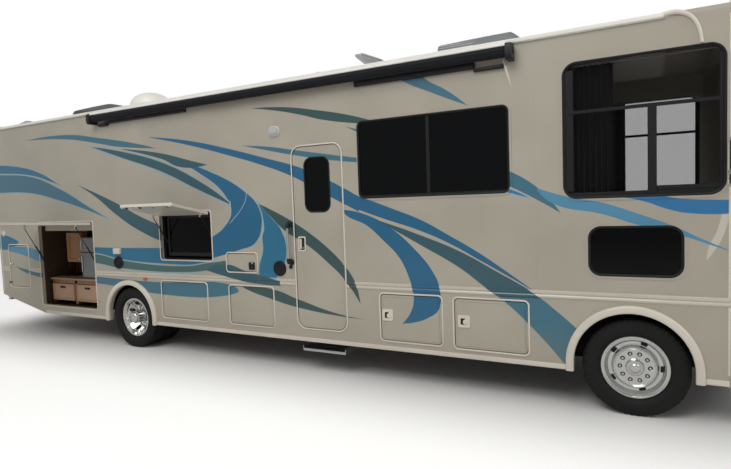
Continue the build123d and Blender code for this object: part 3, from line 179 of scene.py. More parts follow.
# Colour, pale line width in metres, upper or forward edge, lower or rearward edge
LONG_STRIPES = (
    (TEAL, 0.0, ((-8.38, 3.00), (-7.46, 3.01), (-6.57, 2.89), (-5.78, 2.74), (-5.47, 2.66)),
     ((-8.38, 3.00), (-7.47, 2.95), (-6.58, 2.81), (-6.28, 2.75), (-5.47, 2.66))),
    (DARK_TEAL, 0.0, ((-6.14, 2.71), (-5.42, 2.60), (-4.82, 2.45), (-4.61, 2.40)),
     ((-6.14, 2.70), (-5.43, 2.53), (-4.95, 2.38), (-4.61, 2.40))),
    (DARK_TEAL, 0.016, ((-6.80, 2.79), (-6.18, 2.68), (-5.43, 2.49), (-4.75, 2.20), (-4.30, 1.93)),
     ((-6.80, 2.79), (-6.19, 2.60), (-5.44, 2.37), (-4.76, 2.09), (-4.30, 1.91))),
    (BLUE, 0.0, ((-9.60, 2.71), (-9.30, 2.69), (-8.51, 2.61), (-8.01, 2.49), (-7.54, 2.29), (-7.31, 2.21)),
     ((-9.60, 2.55), (-9.30, 2.55), (-9.08, 2.54), (-8.27, 2.47), (-7.77, 2.35), (-7.31, 2.21))),
    (TEAL, 0.012, ((-9.60, 2.53), (-9.30, 2.53), (-9.08, 2.52), (-8.27, 2.45), (-7.55, 2.23), (-6.89, 1.94),
                   (-6.47, 1.76)),
     ((-9.60, 2.25), (-9.30, 2.24), (-8.30, 2.20), (-7.57, 2.06), (-6.89, 1.89), (-6.47, 1.76))),
    (DARK_TEAL, 0.0, ((-7.19, 2.29), (-6.65, 2.11), (-6.25, 1.96), (-5.87, 1.80), (-5.45, 1.66),
                      (-5.05, 1.53), (-4.62, 1.40)),
     ((-7.19, 2.29), (-6.76, 2.09), (-6.36, 1.84), (-5.88, 1.60), (-5.45, 1.46), (-5.05, 1.40),
      (-4.62, 1.40))),
    (BLUE, 0.0, ((-8.12, 1.34), (-7.60, 1.42), (-6.79, 1.38), (-5.50, 1.38), (-4.62, 1.37)),
     ((-8.12, 1.34), (-7.60, 1.30), (-6.79, 1.27), (-6.12, 1.20), (-5.36, 1.17), (-5.00, 1.17),
      (-4.62, 1.31))),
    (MOSS, 0.012, ((-8.06, 1.24), (-7.60, 1.33), (-6.80, 1.28), (-6.24, 1.20), (-5.18, 1.15), (-4.70, 1.20),
                   (-4.38, 1.24)),
     ((-8.06, 1.24), (-7.60, 1.20), (-6.81, 1.15), (-6.25, 1.09), (-5.18, 1.07), (-4.58, 1.13),
      (-4.38, 1.22))),
    (DARK_TEAL, 0.0, ((-4.74, 1.11), (-4.42, 1.19), (-4.10, 1.12), (-3.60, 1.02)),
     ((-4.74, 1.11), (-4.41, 1.04), (-3.93, 0.97), (-3.60, 0.96))),
    (TEAL, 0.0, ((-8.19, 0.97), (-7.60, 0.98), (-6.83, 0.96), (-6.20, 0.94), (-5.60, 0.93), (-4.90, 0.96),
                 (-4.62, 0.97), (-4.22, 0.86)),
     ((-8.19, 0.90), (-7.60, 0.88), (-6.84, 0.86), (-6.20, 0.82), (-5.60, 0.77), (-4.90, 0.76),
      (-4.62, 0.78), (-4.22, 0.86))),
    (GREEN, 0.0, ((-4.19, 0.94), (-3.73, 0.92), (-3.39, 0.83), (-2.77, 0.68), (-2.45, 0.65)),
     ((-4.19, 0.94), (-4.05, 0.88), (-3.73, 0.80), (-3.40, 0.73), (-2.77, 0.66), (-2.45, 0.65))),
    (GREEN, 0.0, ((-3.87, 1.91), (-3.43, 1.71), (-3.17, 1.56), (-2.92, 1.38), (-2.77, 1.24), (-2.64, 1.07),
                  (-2.57, 0.81)),
     ((-3.87, 1.91), (-3.71, 1.76), (-3.51, 1.59), (-3.20, 1.42), (-2.93, 1.22), (-2.77, 1.08),
      (-2.57, 0.81))),
    (DEEP_BLUE, 0.0, ((-5.60, 2.82), (-4.89, 2.71), (-4.25, 2.56), (-3.81, 2.44), (-3.23, 2.27),
                      (-2.75, 2.05), (-2.55, 1.94)),
     ((-5.60, 2.81), (-4.89, 2.65), (-4.26, 2.48), (-3.82, 2.35), (-3.40, 2.20), (-3.00, 2.00),
      (-2.55, 1.78))),
    (TEAL, 0.0, ((-4.10, 2.59), (-3.66, 2.54), (-3.39, 2.49), (-2.78, 2.38), (-2.55, 2.34)),
     ((-4.10, 2.59), (-3.66, 2.49), (-3.39, 2.43), (-2.78, 2.32), (-2.55, 2.29))),
    (DEEP_BLUE, 0.0, ((-2.75, 2.02), (-2.18, 1.81), (-1.87, 1.69), (-1.57, 1.53), (-1.29, 1.37),
                      (-1.05, 1.21), (-0.82, 1.05)),
     ((-2.75, 1.87), (-2.29, 1.71), (-1.88, 1.58), (-1.57, 1.45), (-1.29, 1.30), (-1.05, 1.17),
      (-0.82, 1.04))),
    (DARK_TEAL, 0.0, ((-2.39, 1.71), (-1.88, 1.54), (-1.47, 1.38), (-1.11, 1.19), (-0.84, 1.04),
                      (-0.64, 0.89), (-0.40, 0.68)),
     ((-2.39, 1.71), (-1.88, 1.44), (-1.48, 1.22), (-1.22, 1.03), (-1.06, 0.92), (-0.83, 0.71),
      (-0.55, 0.40), (-0.40, 0.22))),
    (TEAL, 0.0, ((-1.12, 0.966), (-0.90, 0.968), (-0.75, 0.968), (-0.64, 0.89), (-0.40, 0.68)),
     ((-1.12, 0.966), (-1.06, 0.92), (-0.83, 0.71), (-0.55, 0.40), (-0.40, 0.22))),
    (TEAL, 0.0, ((-2.09, 3.09), (-1.87, 3.09), (-1.73, 3.00), (-1.58, 2.91), (-1.36, 2.73)),
     ((-2.09, 3.09), (-1.94, 3.00), (-1.73, 2.90), (-1.54, 2.81), (-1.36, 2.73))),
    (GREEN, 0.0, ((-3.95, 3.00), (-3.46, 2.96), (-3.03, 2.88), (-2.72, 2.81), (-2.36, 2.70)),
     ((-3.95, 3.00), (-3.57, 2.93), (-3.24, 2.85), (-2.93, 2.76), (-2.36, 2.66))),
    (TEAL, 0.0, ((-1.05, 2.14), (-0.74, 1.94), (-0.56, 1.72)),
     ((-1.05, 2.00), (-0.79, 1.86), (-0.56, 1.72))),
    (RAIN, 0.0, ((-0.76, 1.95), (-0.49, 1.86), (-0.25, 1.81), (0.05, 1.70), (0.27, 1.61), (0.46, 1.51),
                 (0.66, 1.41)),
     ((-0.76, 1.93), (-0.57, 1.78), (-0.25, 1.71), (0.01, 1.62), (0.35, 1.52), (0.56, 1.44), (0.66, 1.40))),
    (SKY, 0.0, ((-0.13, 1.85), (0.12, 1.86), (0.33, 1.82), (0.64, 1.80), (0.95, 1.78)),
     ((-0.13, 1.85), (0.05, 1.81), (0.26, 1.73), (0.39, 1.70), (0.64, 1.69), (0.95, 1.74))),
    (BLUE, 0.0, ((-9.60, 1.62), (-9.30, 1.59), (-8.93, 1.53), (-8.69, 1.45)),
     ((-9.60, 1.34), (-9.30, 1.33), (-9.01, 1.32), (-8.69, 1.45))),
    (RAIN, 0.0, ((-9.01, 1.37), (-8.53, 1.37), (-8.15, 1.31), (-7.72, 1.17)),
     ((-9.01, 1.30), (-8.55, 1.23), (-8.15, 1.15), (-7.72, 1.17))),
    (TEAL, 0.0, ((-8.85, 1.06), (-8.50, 1.01), (-8.19, 0.97)),
     ((-8.85, 1.06), (-8.51, 0.95), (-8.19, 0.90))),
    (TEAL, 0.0, ((-2.70, 2.68), (-2.54, 2.63)), ((-2.70, 2.68), (-2.54, 2.60))),
    (SKY, 0.006, ((-1.05, 1.96), (-0.95, 1.93), (-0.82, 1.86)),
     ((-1.05, 1.93), (-0.95, 1.90), (-0.82, 1.86))),
)
# Colour, pale line width, forward edge (height, place), rearward edge (height, place)
HOOKED_STRIPES = (
    (BLUE, 0.014, ((1.05, -3.66), (1.28, -3.51), (1.43, -3.50), (1.60, -3.56), (1.73, -3.68),
                   (1.93, -3.90)),
     ((1.05, -3.90), (1.16, -3.90), (1.37, -3.83), (1.53, -3.83), (1.62, -3.80), (1.93, -3.90))),
    (DEEP_BLUE, 0.014, ((1.17, -5.00), (1.26, -4.62), (1.37, -4.17), (1.45, -3.94), (1.66, -3.83),
                        (1.87, -3.87), (2.05, -4.06), (2.31, -4.58), (2.50, -5.21)),
     ((1.17, -5.05), (1.36, -5.05), (1.50, -4.65), (1.67, -4.37), (1.82, -4.28), (2.00, -4.35),
      (2.30, -4.75), (2.50, -5.21))),
    (DEEP_BLUE, 0.0, ((0.64, -2.10), (0.66, -1.97), (0.72, -1.81), (0.81, -1.70), (0.91, -1.68),
                      (1.04, -1.69), (1.19, -1.76), (1.39, -1.93), (1.61, -2.19), (1.75, -2.47),
                      (1.81, -2.75)),
     ((0.64, -2.10), (0.75, -2.01), (0.86, -1.97), (0.96, -1.97), (1.11, -2.01), (1.31, -2.11),
      (1.49, -2.29), (1.64, -2.47), (1.76, -2.72), (1.81, -2.75))),
    (PALE, 0.0, ((1.677, -4.310), (1.70, -4.283), (1.85, -4.119), (1.96, -4.046), (2.037, -4.031)),
     ((1.677, -4.322), (1.70, -4.300), (1.85, -4.134), (1.96, -4.060), (2.037, -4.044))),
    # A pale sliver beside the front cap's seam: a painted highlight on the seam's edge
    (CAP_SEAM_HIGHLIGHT, 0.0, ((1.33, 0.50), (1.40, 0.55), (1.52, 0.61), (1.65, 0.646), (1.70, 0.658)),
     ((1.33, 0.50), (1.43, 0.512), (1.55, 0.563), (1.70, 0.601))),
)
print("stripes:", len(LONG_STRIPES), "long and", len(HOOKED_STRIPES), "hooked")

# %% [markdown]
# Two curves bound a stripe, so a point is inside where both distances to them are positive.
# A curve node holds each edge over the stripe's own length, which keeps it fine enough to draw.
# The group gives the striped colour for a place and a height, and each paint uses it once.
# %% Stripe group
EDGE_SOFT = 0.004
CURVE_MARGIN = 0.02


def edge_curve(tree, run, points, start, end, low, high):
    """One stripe edge: a smooth curve over its length, both scaled to run from 0 to 1."""
    value = add(tree, "FloatCurve", {"Value": run})
    holder = value.node
    curve = holder.mapping.curves[0]
    spots = [((a - start) / (end - start), (b - low) / (high - low)) for a, b in points]
    curve.points[0].location = spots[0]
    curve.points[-1].location = spots[-1]
    for spot in spots[1:-1]:
        curve.points.new(*spot)
    holder.mapping.update()
    return value


def lay_stripe(tree, colour, along, across, stripe):
    """Lays one stripe, and its pale line outside the edge, over the colour so far."""
    code, line, upper, lower = stripe
    start, end = (pick(p[0] for p in upper + lower) for pick in (min, max))
    low, high = (pick(p[1] for p in upper + lower) for pick in (min, max))
    low, high = low - CURVE_MARGIN, high + CURVE_MARGIN
    run = add(tree, "MapRange", {0: along, 1: start, 2: end})
    here = add(tree, "MapRange", {0: across, 1: low, 2: high}, clamp=False)
    above = add(tree, "Math", {0: edge_curve(tree, run, upper, start, end, low, high), 1: here},
                operation="SUBTRACT")
    below = add(tree, "Math", {0: here, 1: edge_curve(tree, run, lower, start, end, low, high)},
                operation="SUBTRACT")
    inside = add(tree, "Math", {0: above, 1: below}, operation="MINIMUM")
    inside = add(tree, "Math", {0: inside, 1: high - low}, operation="MULTIPLY")
    before = add(tree, "Math", {0: along, 1: start}, operation="SUBTRACT")
    after = add(tree, "Math", {0: end, 1: along}, operation="SUBTRACT")
    ends = add(tree, "Math", {0: before, 1: after}, operation="MINIMUM")
    inside = add(tree, "Math", {0: inside, 1: ends}, operation="MINIMUM")
    if line:
        outline = add(tree, "MapRange", {0: inside, 1: -line - EDGE_SOFT, 2: -line})
        colour = add(tree, "Mix", {0: outline, 6: colour, 7: linear(PALE)}, out=2, data_type="RGBA")
    cover = add(tree, "MapRange", {0: inside, 1: 0.0, 2: EDGE_SOFT})
    return add(tree, "Mix", {0: cover, 6: colour, 7: linear(code)}, out=2, data_type="RGBA")


stripes = bpy.data.node_groups.new("sprayed_stripes", "ShaderNodeTree")
for name in ("Place", "Height"):
    stripes.interface.new_socket(name, in_out="INPUT", socket_type="NodeSocketFloat")
stripes.interface.new_socket("Body", in_out="INPUT", socket_type="NodeSocketColor")
stripes.interface.new_socket("Color", in_out="OUTPUT", socket_type="NodeSocketColor")
source = stripes.nodes.new("NodeGroupInput").outputs
striped = source["Body"]
for stripe in HOOKED_STRIPES:
    striped = lay_stripe(stripes, striped, source["Height"], source["Place"], stripe)
for stripe in LONG_STRIPES:
    striped = lay_stripe(stripes, striped, source["Place"], source["Height"], stripe)
feed(stripes, stripes.nodes.new("NodeGroupOutput"), {"Color": striped})
print(len(stripes.nodes), "nodes draw", len(LONG_STRIPES) + len(HOOKED_STRIPES), "stripes")

# %% [markdown]
# The body is fibreglass with a champagne base coat under clear lacquer. Its metal flakes are pale
# specks painted into the base colour, a painted sheen of glints. The lacquer gives a sharp gloss, and a
# large panel is never quite flat, which shows in its reflections. A raised lid is turned back to its
# closed place before the pattern is read, so that the stripes run on when it shuts. Road dust dulls
# the lowest part a little.
# %% Body paint
BODY = "#A8A192"
BODY_SHADE = "#AFA898"
PAINTED_GLINT_COLOUR = "#E8E2D6"
# The frames' and lips' champagne is partly their trim colour and partly a painted highlight
CHAMPAGNE_AND_HIGHLIGHT = "#DDD6C7"
GELCOAT = "#F0EEE6"
ROAD_DUST = "#8E8474"
SIDE_MIDDLE, SIDE_HALF = -4.270, 4.921
SKIN_FROM, CORNER_FROM = 1.255, 1.120
CAP_START = 0.250
DUST_TOP, DUST_FULL = 0.75, 0.35


def lacquer(name, code, second, lid=None, stripes_from=None, rough=0.38, coat=0.45, cap_from=None):
    """A base coat in two close tones under a clear coat that is slightly wavy.

    The stripes are laid on the outer skin above a height, and white gelcoat above another one, as
    on a roof's edge. Between the two caps the skin is thin, so a door's inner face stays plain.
    A lid's edge shows the pale colour of its tray.
    """
    made, tree, shader, place = surface(name, Coat_Weight=coat, Coat_Roughness=0.06)
    if lid:
        pivot, raised = joints[lid]["pos_m"], math.radians(max(joints[lid]["range_deg"]))
        arm = add(tree, "VectorMath", {0: place, 1: pivot}, operation="SUBTRACT")
        arm = add(tree, "VectorRotate", {"Vector": arm, "Angle": raised}, rotation_type="X_AXIS")
        place = add(tree, "VectorMath", {0: arm, 1: pivot}, operation="ADD")
    cloud = add(tree, "TexNoise", {"Vector": place, "Scale": 1.6, "Detail": 2.0})
    tone = add(tree, "MapRange", {0: cloud, 1: 0.35, 2: 0.65})
    colour = add(tree, "Mix", {0: tone, 6: linear(code), 7: linear(second)}, out=2, data_type="RGBA")
    # Real metal flakes are 0.1 mm. Their glints are painted into the colour as pale specks of about 1 mm,
    # so that they show
    speck_noise = add(tree, "TexNoise", {"Vector": place, "Scale": 900.0, "Detail": 1.0})
    painted_glint = add(tree, "MapRange", {0: speck_noise, 1: 0.45, 2: 0.75, 4: 0.10})
    colour = add(tree, "Mix", {0: painted_glint, 6: colour, 7: linear(PAINTED_GLINT_COLOUR)}, out=2, data_type="RGBA")
    height = add(tree, "SeparateXYZ", {0: place}, out="Z")
    along = add(tree, "SeparateXYZ", {0: place}, out="X")
    along = add(tree, "Math", {0: along, 1: AXLE_X}, operation="SUBTRACT")
    across = add(tree, "Math", {0: add(tree, "SeparateXYZ", {0: place}, out="Y"), 1: CENTRE_Y},
                 operation="SUBTRACT")
    across = add(tree, "Math", {0: across}, operation="ABSOLUTE")
    if stripes_from is not None:
        laid = add(tree, "Group", {"Place": along, "Height": height, "Body": colour}, node_tree=stripes)
        above = add(tree, "MapRange", {0: height, 1: stripes_from - EDGE_SOFT, 2: stripes_from})
        turned_in = add(tree, "Math", {0: along, 1: SIDE_MIDDLE}, operation="SUBTRACT")
        turned_in = add(tree, "Math", {0: turned_in}, operation="ABSOLUTE")
        skin_from = add(tree, "MapRange",
                        {0: turned_in, 1: SIDE_HALF - 0.001, 2: SIDE_HALF, 3: SKIN_FROM, 4: CORNER_FROM})
        beside = add(tree, "Math", {0: across, 1: skin_from}, operation="GREATER_THAN")
        above = add(tree, "Math", {0: above, 1: beside}, operation="MULTIPLY")
        colour = add(tree, "Mix", {0: above, 6: colour, 7: laid}, out=2, data_type="RGBA")
    if lid:
        outside = add(tree, "Math", {0: across, 1: HALF_BODY - 0.002}, operation="GREATER_THAN")
        colour = add(tree, "Mix", {0: outside, 6: linear(CHAMPAGNE_AND_HIGHLIGHT), 7: colour}, out=2, data_type="RGBA")
    if cap_from is not None:
        above = add(tree, "MapRange", {0: height, 1: cap_from - EDGE_SOFT, 2: cap_from})
        behind = add(tree, "MapRange", {0: along, 1: CAP_START + 0.03, 2: CAP_START - 0.03})
        white = add(tree, "Math", {0: above, 1: behind}, operation="MULTIPLY")
        colour = add(tree, "Mix", {0: white, 6: colour, 7: linear(GELCOAT)}, out=2, data_type="RGBA")
    dirt = add(tree, "TexNoise", {"Vector": place, "Scale": 4.0, "Detail": 5.0, "Roughness": 0.7})
    low = add(tree, "MapRange", {0: height, 1: DUST_TOP, 2: DUST_FULL, 4: 0.45})
    dust = add(tree, "Math", {0: dirt, 1: low}, operation="MULTIPLY")
    colour = add(tree, "Mix", {0: dust, 6: colour, 7: linear(ROAD_DUST)}, out=2, data_type="RGBA")
    wave = add(tree, "TexNoise", {"Vector": place, "Scale": 1.3, "Detail": 1.0, "Roughness": 0.4})
    feed(tree, shader, {"Base Color": colour,
                        "Normal": add(tree, "Bump", {"Height": wave, "Distance": 0.004}),
                        "Roughness": add(tree, "MapRange", {0: dust, 2: 0.4, 3: rough, 4: rough + 0.3})})
    return made


BELT_LOW = 0.965
ROOF_EDGE = 3.228
# Champagne with the coloured stripes, a sharp gloss over a sheen of painted glints
paint = lacquer("striped_lacquer", BODY, BODY_SHADE, stripes_from=0.0)
# The same on the two lids, which are read as if they were shut
galley_paint = lacquer("striped_lacquer_galley_lid", BODY, BODY_SHADE, "galley_lid_hinge", 0.0)
screen_paint = lacquer("striped_lacquer_screen_lid", BODY, BODY_SHADE, "screen_lid_hinge", 0.0)
# Paler belt and skirt mouldings, striped only above their lower edge
trim_paint = lacquer("striped_lacquer_mouldings", "#C6BFB0", "#BEB7A8", stripes_from=BELT_LOW)
# Frames, lips and bezels, the palest of the painted parts: their own unstriped champagne, made paler still
# as a painted highlight for the sun that raised parts catch
champagne_and_highlight = lacquer("champagne_lacquer", CHAMPAGNE_AND_HIGHLIGHT, "#D3CCBD")
# Champagne that turns white over the roof edge
roof_paint = lacquer("roof_lacquer", BODY, BODY_SHADE, cap_from=ROOF_EDGE)
# Gelcoat, a duller and cleaner white
roof_white = lacquer("white_gelcoat", GELCOAT, "#E6E4DB", rough=0.45, coat=0.2)
print("paints:", len(bpy.data.materials))

# %% [markdown]
# Rubber, moulded plastic and cast iron scatter light broadly, and differ in colour, in grain and
# in how much they shine. Each grain below is drawn at its real size or, where that is too fine to
# show from the kerb, a little coarser. Uneven roughness gives the worn look that one value can't.
# %% Rubber, plastic and iron


def grained(name, code, second, rough, grain_mm, depth_mm, metallic=0.0, uneven=0.12, coat=0.0):
    """A matt or satin surface with a grain of a given size and depth, and uneven roughness."""
    made, tree, shader, place = surface(name, Metallic=metallic, Coat_Weight=coat, Specular_IOR_Level=0.35)
    cloud = add(tree, "TexNoise", {"Vector": place, "Scale": 7.0, "Detail": 4.0, "Roughness": 0.6})
    tone = add(tree, "MapRange", {0: cloud, 1: 0.3, 2: 0.7})
    grain = add(tree, "TexNoise", {"Vector": place, "Scale": 1000 / grain_mm})
    feed(tree, shader, {
        "Base Color": add(tree, "Mix", {0: tone, 6: linear(code), 7: linear(second)}, out=2,
                          data_type="RGBA"),
        "Roughness": add(tree, "MapRange", {0: tone, 3: rough - uneven / 2, 4: rough + uneven / 2}),
        "Normal": add(tree, "Bump", {"Height": grain, "Distance": depth_mm / 1000}),
    })
    return made


# Deep matt black with a fine mottle
tyre_rubber = grained("vulcanised_rubber", "#090909", "#121110", 0.72, 6.0, 0.5)
# Black seals and bars, a little smoother than a tyre
gasket_rubber = grained("gasket_rubber", "#08080A", "#0E0E10", 0.6, 5.0, 0.2)
# Moulded fittings with a soft shine
black_plastic = grained("moulded_black_abs", "#141517", "#1D1E20", 0.42, 4.0, 0.15)
# The rear shroud, dull and even
grey_plastic = grained("moulded_grey_abs", "#5B5C5C", "#666766", 0.5, 4.0, 0.2)
# Lids, lamps and outlets, warm white
white_plastic = grained("moulded_white_abs", "#D8D6CE", "#CFCCC3", 0.4, 5.0, 0.15)
# Dark satin enamel on rough steel
chassis_paint = grained("chassis_enamel", "#17181A", "#26241F", 0.5, 9.0, 0.3)
# Brown-grey castings with a coarse skin
cast_iron = grained("cast_iron", "#4A443D", "#38342F", 0.7, 5.0, 0.6, 0.6)
# Black polyethylene, waxy
tank_plastic = grained("rotomoulded_tank", "#1B1C1E", "#232426", 0.55, 7.0, 0.3)
# Sprayed tar, the darkest and roughest of all
undercoat = grained("sprayed_undercoat", "#060606", "#0B0A0A", 0.85, 14.0, 1.2)
# The front shroud, painted grey for the shade that lies on it
shade_grey_shroud = grained("weathered_slate_shroud", "#767A7C", "#818587", 0.6, 8.0, 0.3)
# Smooth baked grey
fridge_enamel = grained("fridge_enamel", "#7B7E80", "#74777A", 0.35, 4.0, 0.1, 0.0, 0.05)
# The dash, a dull brown with a leather grain
vinyl = grained("dash_vinyl", "#4A443C", "#534C43", 0.6, 3.0, 0.3)
# Bare plywood, seen through an open door
floor_board = grained("plywood_floor", "#8A7354", "#7A6548", 0.6, 20.0, 0.4)
# Coloured lamp plastic under a clear shine
LAMP_RED = "#8E1512"
red_lens = grained("red_lens", LAMP_RED, "#7A100E", 0.12, 12.0, 0.3, 0.0, 0.04, 0.8)
amber_lens = grained("amber_lens", "#B8641A", "#A75812", 0.15, 10.0, 0.3, 0.0, 0.04, 0.8)
print("finishes so far:", len(bpy.data.materials))

# %% [markdown]
# Bright metal is seen by what it mirrors, so its colour is pale and its roughness low. Polished
# stainless is the smoothest, anodised aluminium shows a fine drawn grain, and the exhaust has
# dulled with heat. The grain is noise that is squeezed across one direction.
# %% Metals


def metal(name, code, rough, grain=(60.0, 60.0, 60.0), depth_mm=0.02, uneven=0.06):
    """A metal whose roughness follows a grain that may be drawn out along one direction."""
    made, tree, shader, place = surface(name, Metallic=1.0, Base_Color=linear(code))
    drawn = add(tree, "Mapping", {"Vector": place, "Scale": grain})
    line = add(tree, "TexNoise", {"Vector": drawn, "Scale": 1.0, "Detail": 3.0, "Roughness": 0.6})
    feed(tree, shader, {
        "Roughness": add(tree, "MapRange",
                         {0: line, 1: 0.3, 2: 0.7, 3: rough - uneven / 2, 4: rough + uneven / 2}),
        "Normal": add(tree, "Bump", {"Height": line, "Distance": depth_mm / 1000}),
    })
    return made


# Wheels and locks, which mirror the floor and the sky
chrome = metal("polished_stainless", "#D2D2D0", 0.15)
# Ladder, rails and step. The drawn lines are 0.2 mm apart and are shown at 2.5 mm
brushed = metal("anodised_aluminium", "#BDBEC0", 0.32, (20.0, 400.0, 400.0))
# Dull and blotched by heat
exhaust_steel = metal("exhaust_steel", "#6B645B", 0.5, (40.0, 40.0, 40.0), 0.2, 0.2)
# Gas strut rods, a dark even sheen
dark_rod = metal("nitrided_strut_rod", "#2B2B2E", 0.25)
print("finishes so far:", len(bpy.data.materials))

# %% [markdown]
# The house windows are privacy glass, nearly black from outside, and the cab's are clear with a
# slight tint. A thin pane needs no bending of light: a glossy face that lets some of it through
# reads as glass from every side. All side panes are one solid, so the place says which they are.
# %% Glass and lenses
CAB_BACK = -0.80
CAB_SILL = 1.70
REAR_LAMPS = -5.0


def pane(name, code, opaque, rough=0.02, cab_opaque=None, rear_code=None):
    """A thin tinted sheet, as opaque as it says; it may be clearer in the cab and tinted at the rear."""
    made, tree, shader, place = surface(name, Base_Color=linear(code), Roughness=rough, IOR=1.5,
                                        Alpha=opaque, Specular_IOR_Level=0.15)
    wave = add(tree, "TexNoise", {"Vector": place, "Scale": 0.8, "Detail": 1.0})
    feed(tree, shader, {"Normal": add(tree, "Bump", {"Height": wave, "Distance": 0.001})})
    if cab_opaque is not None:
        parts = add(tree, "SeparateXYZ", {0: place}).node.outputs
        ahead = add(tree, "MapRange", {0: parts["X"], 1: AXLE_X + CAB_BACK, 2: AXLE_X + CAB_BACK + 0.05})
        above = add(tree, "MapRange", {0: parts["Z"], 1: CAB_SILL, 2: CAB_SILL + 0.05})
        clear = add(tree, "Math", {0: ahead, 1: above}, operation="MULTIPLY")
        feed(tree, shader, {"Alpha": add(tree, "MapRange", {0: clear, 3: opaque, 4: cab_opaque})})
    if rear_code:
        along = add(tree, "SeparateXYZ", {0: place}, out="X")
        ahead = add(tree, "MapRange", {0: along, 1: AXLE_X + REAR_LAMPS, 2: AXLE_X + REAR_LAMPS + 0.1})
        tint = add(tree, "Mix", {0: ahead, 6: linear(rear_code), 7: linear(code)}, out=2, data_type="RGBA")
        feed(tree, shader, {"Base Color": tint,
                            "Alpha": add(tree, "MapRange", {0: ahead, 3: 0.92, 4: opaque})})
    return made


# Nearly black, and clear only beside the cab seats
side_glass = pane("privacy_glass", "#030406", 0.985, cab_opaque=0.26)
# The windscreen, with a slight grey tint
cab_glass = pane("tinted_cab_glass", "#0A0D10", 0.42)
# Frosted lamp covers
clear_lens = pane("clear_lens", "#C9CDD0", 0.55, 0.05)
# Clear at the front and red at the back
lamp_lens = pane("lamp_lens", "#C9CDD0", 0.35, 0.04, rear_code=LAMP_RED)
# The television and panes with a dark room behind them
screen_black = pane("screen_glass", "#030406", 1.0)
print("finishes so far:", len(bpy.data.materials))

# %% [markdown]
# The cupboards are stained timber with the grain along the board. The rings of a sawn plank are a
# wave bent by noise, so the same wave drives the colour and the faint relief. Leather is small
# cells, and canvas and curtain cloth are threads that cross.
# %% Wood, leather and cloth


def timber(name, dark, pale, along=(1.2, 14.0, 14.0)):
    """Sawn and stained wood: a wave across the grain, bent by noise, in two tones."""
    made, tree, shader, place = surface(name, Roughness=0.42, Coat_Weight=0.25, Coat_Roughness=0.2)
    drawn = add(tree, "Mapping", {"Vector": place, "Scale": along})
    bend = {"Vector": drawn, "Scale": 1.4, "Distortion": 5.0, "Detail": 3.0, "Detail Scale": 1.2}
    rings = add(tree, "TexWave", bend, out="Fac", bands_direction="Z")
    feed(tree, shader, {
        "Base Color": add(tree, "Mix", {0: rings, 6: linear(dark), 7: linear(pale)}, out=2,
                          data_type="RGBA"),
        "Normal": add(tree, "Bump", {"Height": rings, "Distance": 0.0004}),
    })
    return made


def leather(name, code, second):
    """Upholstery leather: pebbled cells about 3 mm wide over a soft sheen."""
    made, tree, shader, place = surface(name, Roughness=0.48, Sheen_Weight=0.08)
    cloud = add(tree, "TexNoise", {"Vector": place, "Scale": 5.0})
    pebble = add(tree, "TexVoronoi", {"Vector": place, "Scale": 300.0}, out="Distance",
                 feature="DISTANCE_TO_EDGE")
    feed(tree, shader, {
        "Base Color": add(tree, "Mix", {0: cloud, 6: linear(code), 7: linear(second)}, out=2,
                          data_type="RGBA"),
        "Normal": add(tree, "Bump", {"Height": pebble, "Distance": 0.0008}),
    })
    return made


def woven(name, code, second, thread_mm, depth_mm=0.6):
    """Cloth: two sets of threads that cross, as the larger of two waves."""
    made, tree, shader, place = surface(name, Roughness=0.75, Sheen_Weight=0.04, Specular_IOR_Level=0.2)
    threads = [
        add(tree, "TexWave", {"Vector": place, "Scale": 50 / thread_mm}, out="Fac", bands_direction=axis)
        for axis in ("X", "Z")
    ]
    weave = add(tree, "Math", {0: threads[0], 1: threads[1]}, operation="MAXIMUM")
    cloud = add(tree, "TexNoise", {"Vector": place, "Scale": 3.0})
    feed(tree, shader, {
        "Base Color": add(tree, "Mix", {0: cloud, 6: linear(code), 7: linear(second)}, out=2,
                          data_type="RGBA"),
        "Normal": add(tree, "Bump", {"Height": weave, "Distance": depth_mm / 1000}),
    })
    return made


# Walnut-brown lining in the galley compartment
dark_wood = timber("dark_stained_board", "#3A2A1D", "#4A3626")
# Orange maple doors and rails
golden_wood = timber("golden_maple", "#7A4E22", "#96683A")
# Pale pinkish drawer fronts
drawer_wood = timber("birch_veneer", "#A37F60", "#B8957A")
# Worktop laminate with a stone tone
pale_board = timber("stone_laminate", "#8A745B", "#9B866B")
# Tan upholstery with a low sheen
seat_leather = leather("seat_leather", "#8A7358", "#7B664D")
# The awning. Its threads are 0.6 mm and are shown ten times coarser
canvas = woven("acrylic_canvas", "#1D1E22", "#17181B", 6.0)
# Dark lining cloth, also with coarser threads than the real 0.4 mm
curtain_cloth = woven("curtain_cloth", "#2B2A2C", "#232224", 4.0)
print("finishes so far:", len(bpy.data.materials))

